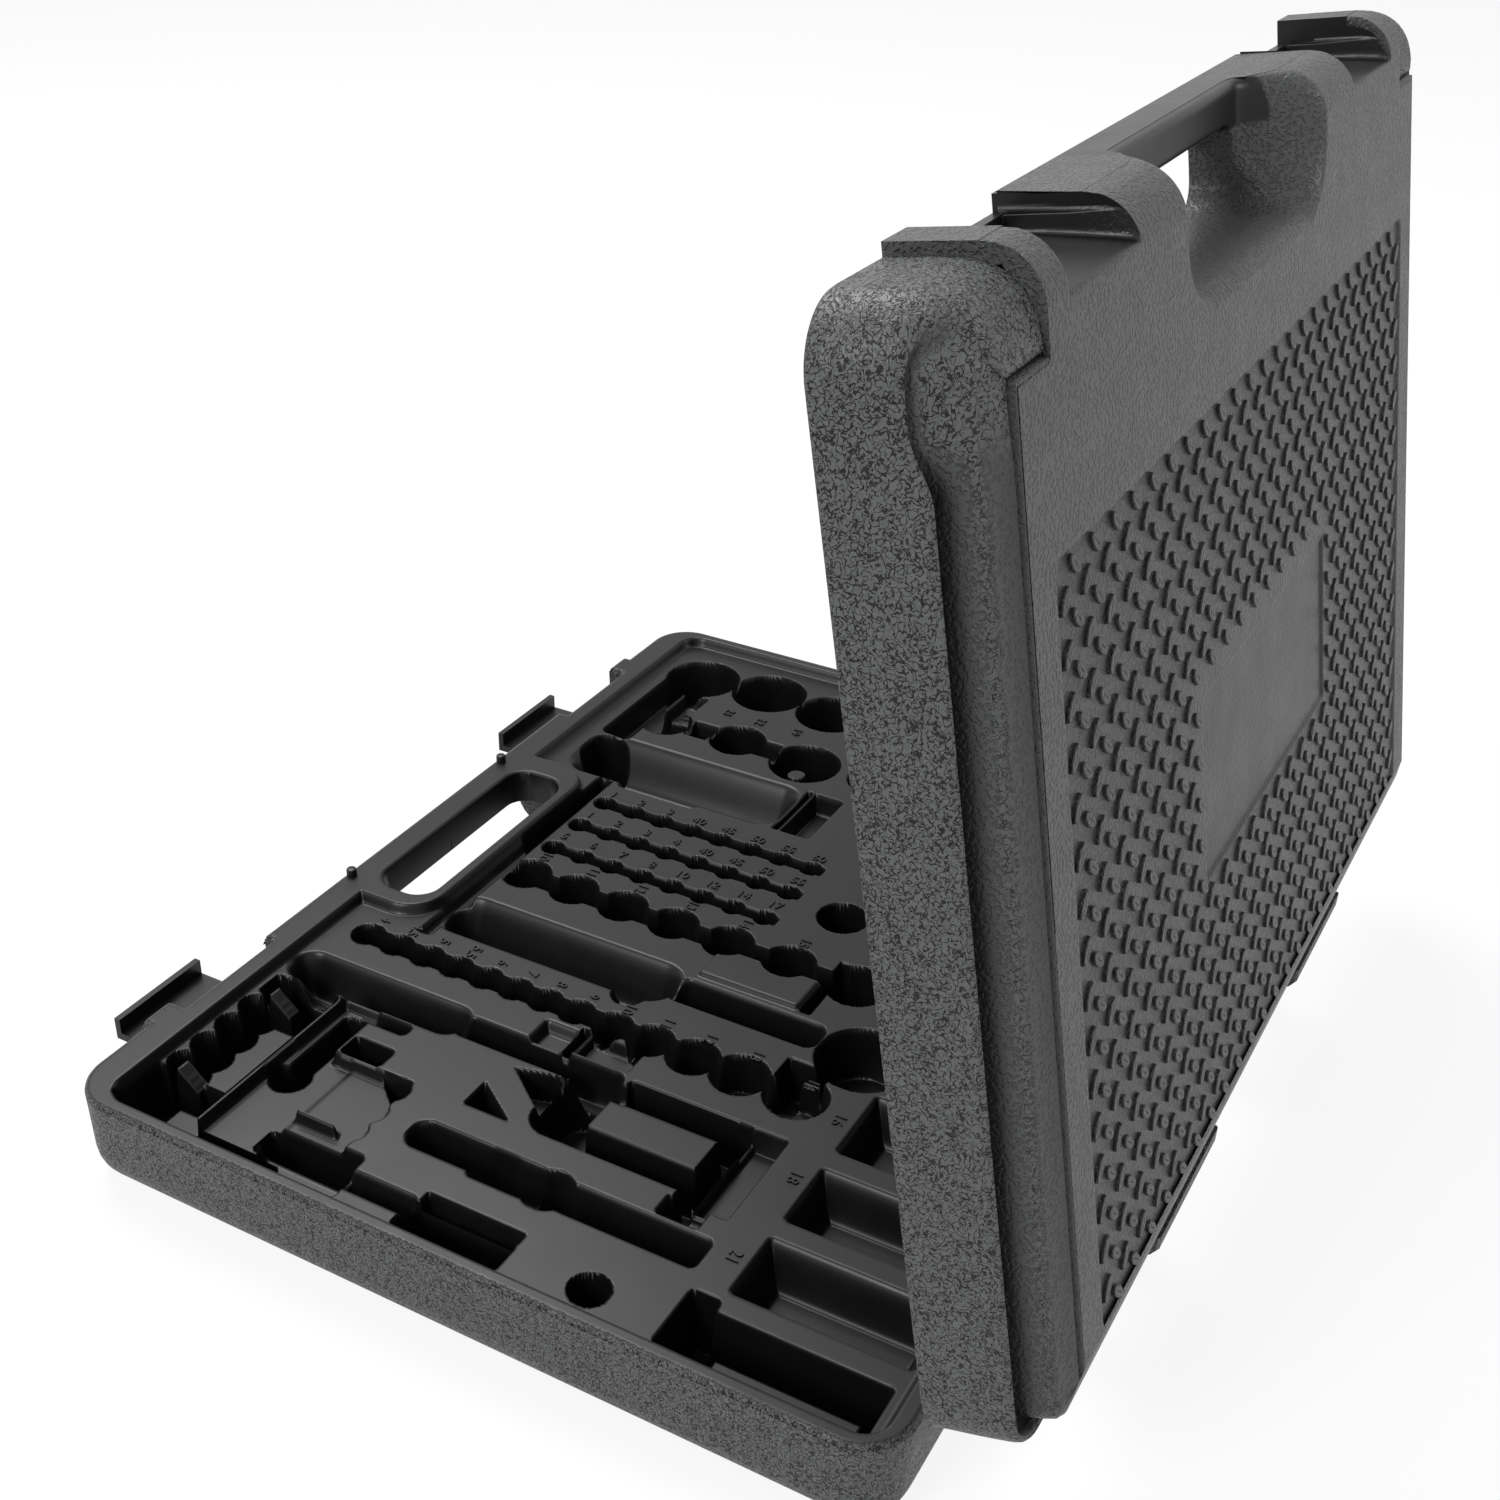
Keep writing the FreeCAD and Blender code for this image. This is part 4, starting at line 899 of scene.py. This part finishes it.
# locating pegs on the lower half's front edge, and the clearance holes over them
peg = {"spacing": 49.5, "inset": 2.5, "clearance": 2.8, "profile": [
    (2.0, rim - 1), (2.0, rim + 2.2), (1.7, rim + 2.8), (1.1, rim + 3.0), (0.02, rim + 3.0)]}


def lidInsideDistance(x, y):
    # with a clearance hole over each locating peg of the lower half
    away = caseOutline(x, y, case["bayDepth"]) + 0.5
    pegs = discDistance(np.abs(x), y, peg["spacing"], -halfDepth + peg["inset"], peg["clearance"])
    return np.maximum.reduce([away, -holeDistance(x, y), -pegs])


def makeLidInside():
    # flat seam face with a shallow panel sunk into it
    x, y = planGrid(1.0)
    away = lidInsideDistance(x, y)
    panel = boxDistance(x, y, -halfWidth + 16, halfWidth - 16, -halfDepth + 44, halfDepth - 16, 16)
    z = lidBase + 4.0 * ease(-panel / 3.5)
    px, py = slide(x, y, away, np.clip(away, 0, 1.6))
    keep = quadMask(away < 1.5)
    return sheetPieces("lid_inside", px, py, z, keep, "lid", 2, np.zeros_like(x), swing, True)


makeLidInside()
print("lid made", sum(len(p.data.polygons) for p in lidFace))


def hull(points):
    # convex outline of a few points, anticlockwise
    points = sorted(set((round(a, 4), round(b, 4)) for a, b in points))

    def half(run):
        kept = []
        for p in run:
            while len(kept) > 1 and (kept[-1][0] - kept[-2][0]) * (p[1] - kept[-2][1]) \
                    - (kept[-1][1] - kept[-2][1]) * (p[0] - kept[-2][0]) <= 0:
                kept.pop()
            kept.append(p)
        return kept[:-1]

    return np.array(half(points) + half(points[::-1]))


def barPiece(name, profile, left, right, body, place=None, grain=0.0, edge=0.5):
    # a closed profile in (y, z) drawn along X, with its rim eased at both ends and flat caps
    profile = np.asarray(profile)
    centre = profile.mean(0)
    spread = np.linalg.norm(profile - centre, axis=1).mean()
    shrunk = [centre + (profile - centre) * k for k in (0.02, 1 - edge / spread, 1 - 0.3 * edge / spread, 1)]
    rows = [*zip((left, left, left + edge * 0.3, left + edge), shrunk),
            *zip((right - edge, right - edge * 0.3, right, right), shrunk[::-1])]
    points = np.concatenate([np.concatenate([np.full((len(p), 1), x), p], 1) for x, p in rows])
    quads = ringQuads(len(rows), len(profile))[:, ::-1]
    points = points if place is None else place(points)
    return meshPiece(name, points, quads, body, None, np.full(len(points), grain), 35)


# hinges: a lid knuckle between two base knuckles on each pin, and the bulge on the lid over them
hinge = {"spacing": 146.0, "width": 57.0, "middle": 27.0, "gap": 0.5, "radius": 6.5, "footReach": 4.0}
around = np.radians(np.arange(0, 360, 15))
knuckle = np.stack([hingeLine + hinge["radius"] * np.cos(around),
                    rim + hinge["radius"] * np.sin(around)], 1).tolist()
baseArm = hull(knuckle + [(halfDepth - 1, rim - 2), (halfDepth - 1, rim - 17)])
lidArm = hull(knuckle + [(halfDepth - 1, rim + 2), (halfDepth - 1, rim + 17)])
foot = [(halfDepth - 4, 44), (halfDepth + 1, 45), (halfDepth + 3, 46.5), (halfDepth + hinge["footReach"], 49),
        (halfDepth + hinge["footReach"], 60), (halfDepth + 3, 63), (halfDepth + 1, 65), (halfDepth - 4, 66)]
for side, sign in sides:
    middle = sign * hinge["spacing"] / 2
    inner, outer = hinge["middle"] / 2, hinge["width"] / 2
    barPiece("hinge_lid_knuckle_" + side, lidArm, middle - inner + hinge["gap"],
             middle + inner - hinge["gap"], "lid", swing, 0.4)
    barPiece("hinge_base_knuckle_outer_" + side, baseArm, middle + inner, middle + outer, "base", None, 0.4)
    barPiece("hinge_base_knuckle_inner_" + side, baseArm, middle - outer, middle - inner, "base", None, 0.4)
    barPiece("lid_foot_" + side, foot, middle - outer, middle + outer, "lid", swing, 1.0, 2.0)
print("hinges made")


def turnedPiece(name, cx, cy, profile, body, steps=20):
    # a profile of (radius, height) turned about an upright axis
    turns = np.linspace(0, 2 * math.pi, steps, endpoint=False)
    rows = [np.stack([cx + r * np.cos(turns), cy + r * np.sin(turns), np.full(steps, h)], 1)
            for r, h in profile]
    return meshPiece(name, np.concatenate(rows), ringQuads(len(rows), steps), body, None, None, 40)


for side, sign in sides:
    turnedPiece("locating_peg_" + side, sign * peg["spacing"], -halfDepth + peg["inset"], peg["profile"],
                "base")
print("pegs made")

# lugs on the lower half that carry the latch pins, one at each end of a latch
lug = {"radius": 4.5, "width": 5.0, "line": (-halfDepth + 0.5, 5.5), "root": 12.0}
eye = np.stack([lug["line"][0] + lug["radius"] * np.cos(around),
                lug["line"][1] + lug["radius"] * np.sin(around)], 1)
lugArm = hull(eye.tolist() + [(lug["line"][0] + lug["root"], lug["line"][1] - lug["radius"]),
                              (lug["line"][0] + lug["root"], lug["line"][1] + lug["radius"])])
for side, sign in sides:
    for end, shift in (("outer", 1), ("inner", -1)):
        near = sign * (case["latchMiddle"] + shift * case["latchBay"] / 2)
        far = near + sign * shift * lug["width"]
        barPiece("latch_lug_%s_%s" % (end, side), lugArm, min(near, far), max(near, far), "base", None, 0.4)
print("lugs made")

# raised size numbers beside the pockets; turn is the reading direction in degrees
numbers = {"size": 6.0, "rise": 0.5, "groups": [
    {"lane": 62.6, "turn": 0, "marks": [(-121, "4"), (-107.5, "4.5"), (-94, "5"), (-81, "5.5"), (-68, "6"),
                                        (-55, "7"), (-42.4, "8"), (-29, "9"), (-14, "10"), (1.6, "11"),
                                        (18.6, "12"), (37, "13"), (58, "14")]},
    {"lane": -3.0, "turn": 0, "marks": [(-93.5, "10"), (-71.6, "11"), (-49.4, "12"), (-27, "13"),
                                        (-3.4, "14"), (21, "15")]},
    {"lane": -140.0, "turn": 0, "marks": [(-54, "19"), (-72, "22"), (-88, "21")]},
]}
bitNumbers = {"start": -95.0, "rows": [
    (-55.6, "1 2 3 40 45 50 55 60"), (-37.6, "1 2 3 4 40 45 50 55"), (-19.0, "5 6 7 8 10 12 14 17")]}
barMarks = [(77.5, 75.4, "16"), (108.5, 75.4, "18"), (147.5, 75.4, "21"), (-137.5, -108, "24")]


def makeNumbers():
    marks = [(g["lane"], y, text, g["turn"]) for g in numbers["groups"] for y, text in g["marks"]]
    for lane, row in bitNumbers["rows"]:
        marks += [(lane, bitNumbers["start"] + tray["bitPitch"] * k, text, 90)
                  for k, text in enumerate(row.split())]
    marks += [(x, y, text, 0) for x, y, text in barMarks]
    points, faces, start = [], [], 0
    for x, y, text, turn in marks:
        curve = bpy.data.curves.new("number", "FONT")
        curve.body = text
        curve.size = numbers["size"]
        curve.align_x, curve.align_y = "CENTER", "CENTER"
        curve.extrude = numbers["rise"]
        curve.resolution_u = 3
        item = bpy.data.objects.new("number", curve)
        bpy.context.scene.collection.objects.link(item)
        bpy.context.view_layer.update()
        shape = bpy.data.meshes.new_from_object(item.evaluated_get(bpy.context.evaluated_depsgraph_get()))
        flat = np.empty(len(shape.vertices) * 3)
        shape.vertices.foreach_get("co", flat)
        flat = flat.reshape(-1, 3)
        c, s = math.cos(math.radians(turn)), math.sin(math.radians(turn))
        level = trayHeight(np.array([[x]]), np.array([[y]]))[0, 0]
        points.append(np.stack([x + flat[:, 0] * c - flat[:, 1] * s, y + flat[:, 0] * s + flat[:, 1] * c,
                                level + flat[:, 2]], 1))
        faces += [[v + start for v in f.vertices] for f in shape.polygons]
        start += len(flat)
        bpy.data.objects.remove(item)
        bpy.data.curves.remove(curve)
        bpy.data.meshes.remove(shape)
    mesh = bpy.data.meshes.new("tray_numbers")
    mesh.from_pydata((np.concatenate(points) * mm).tolist(), [], faces)
    mesh.attributes.new("grain", "FLOAT", "POINT")
    return castPiece("tray_numbers", mesh, "base")


trayNumbers = makeNumbers()
print("numbers made", len(trayNumbers.data.polygons))

# the photograph's camera, fitted to the case's edges
shot = {
    "place": (526.97, 282.75, 424.76 + rim),
    "yaw": -119.453,
    "pitch": -28.967,
    "roll": -0.425,
    "focal": 1965.1,
    "centre": (717.5, 700.6),
    "frame": 1500.0,
}


def makeCamera():
    yaw, pitch, roll = (math.radians(shot[k]) for k in ("yaw", "pitch", "roll"))
    ahead = np.array([math.cos(pitch) * math.sin(yaw), math.cos(pitch) * math.cos(yaw), math.sin(pitch)])
    right = np.cross(ahead, (0, 0, 1))
    right = right / np.linalg.norm(right)
    down = np.cross(ahead, right)
    right, down = (math.cos(roll) * right + math.sin(roll) * down,
                   -math.sin(roll) * right + math.cos(roll) * down)
    data = bpy.data.cameras.new("camera")
    data.sensor_width = 36.0
    data.lens = 36.0 * shot["focal"] / shot["frame"]
    data.shift_x = 0.5 - shot["centre"][0] / shot["frame"]
    data.shift_y = shot["centre"][1] / shot["frame"] - 0.5
    data.clip_start, data.clip_end = 0.01, 50.0
    camera = bpy.data.objects.new("camera", data)
    matrix = np.eye(4)
    matrix[:3, 0], matrix[:3, 1], matrix[:3, 2] = right, -down, -ahead
    matrix[:3, 3] = np.array(shot["place"]) * mm
    camera.matrix_world = Matrix(matrix.tolist())
    bpy.context.scene.collection.objects.link(camera)
    bpy.context.scene.camera = camera


makeCamera()

# studio: pale floor, a surround that looks white but lights softly, and three soft lamps
studio = {
    "floor": "#f2f2f1", "floorReach": 12.0, "floorDrop": 0.5, "surround": 0.36, "floorWhite": 0.86, "lamps": [
    {"name": "overhead", "place": (-0.5, -0.9, 1.7), "aim": (0.0, 0.0, 0.0), "size": 1.1, "power": 34.0},
    {"name": "camera_side", "place": (2.0, -0.5, 1.5), "aim": (0.0, 0.1, 0.15), "size": 0.9, "power": 40.0},
    {"name": "behind_lid", "place": (-0.3, 2.2, 1.5), "aim": (0.0, 0.2, 0.15), "size": 1.2, "power": 26.0},
]}


def whiteShare(tree, most):
    # how much white a ray meets: seen, mirrored and see-through rays meet it, scattered light doesn't
    rays = addNode(tree, "ShaderNodeLightPath").outputs
    seen = figure(tree, "MAXIMUM", rays["Is Camera Ray"], rays["Is Glossy Ray"])
    return figure(tree, "MULTIPLY", figure(tree, "MAXIMUM", seen, rays["Is Transmission Ray"]), most)


def makeStudio():
    scene = bpy.context.scene
    scene.view_settings.view_transform = "Standard"
    world = bpy.data.worlds.new("studio")
    scene.world = world
    world.use_nodes = True
    tree = world.node_tree
    tree.nodes.clear()
    soft = addNode(tree, "ShaderNodeBackground", None,
                   {"Color": (1, 1, 1, 1), "Strength": studio["surround"]})
    white = addNode(tree, "ShaderNodeBackground", None, {"Color": (1, 1, 1, 1), "Strength": 1.0})
    mix = addNode(tree, "ShaderNodeMixShader", None, {
        0: whiteShare(tree, 1.0), 1: soft.outputs["Background"], 2: white.outputs["Background"]})
    addNode(tree, "ShaderNodeOutputWorld", None, {"Surface": mix.outputs["Shader"]})
    material, floorTree, shader = newMaterial("pale floor")
    shader.inputs["Base Color"].default_value = linear(studio["floor"])
    shader.inputs["Roughness"].default_value = 0.9
    glow = addNode(floorTree, "ShaderNodeEmission", None, {"Color": (1, 1, 1, 1), "Strength": 1.0})
    blend = addNode(floorTree, "ShaderNodeMixShader", None, {
        0: whiteShare(floorTree, studio["floorWhite"]), 1: shader.outputs["BSDF"],
        2: glow.outputs["Emission"]})
    floorTree.links.new(blend.outputs["Shader"], next(
        n for n in floorTree.nodes if n.type == "OUTPUT_MATERIAL").inputs["Surface"])
    mesh = bpy.data.meshes.new("floor")
    reach, drop = studio["floorReach"], -studio["floorDrop"] * mm
    mesh.from_pydata([(x * reach, y * reach, drop) for x, y in ((-1, -1), (1, -1), (1, 1), (-1, 1))], [],
                     [(0, 1, 2, 3)])
    mesh.materials.append(material)
    floor = bpy.data.objects.new("floor", mesh)
    scene.collection.objects.link(floor)
    for lamp in studio["lamps"]:
        data = bpy.data.lights.new(lamp["name"], "AREA")
        data.shape = "DISK"
        data.size = lamp["size"]
        data.energy = lamp["power"]
        item = bpy.data.objects.new(lamp["name"], data)
        item.location = lamp["place"]
        aim = Vector(lamp["aim"]) - Vector(lamp["place"])
        item.rotation_euler = aim.to_track_quat("-Z", "Y").to_euler()
        scene.collection.objects.link(item)


makeStudio()
for name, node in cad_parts.items():
    if "pin" in name or name.startswith("latch"):
        node.data.materials.clear()
        node.data.materials.append(pinSteel if "pin" in name else casePlastic)
    if name in ("latch_right", "latch_left"):
        bevel = node.modifiers.new("moulded edges", "BEVEL")
        bevel.width = 0.6 * mm
        bevel.segments = 3
        bevel.limit_method = "ANGLE"
print("studio made")
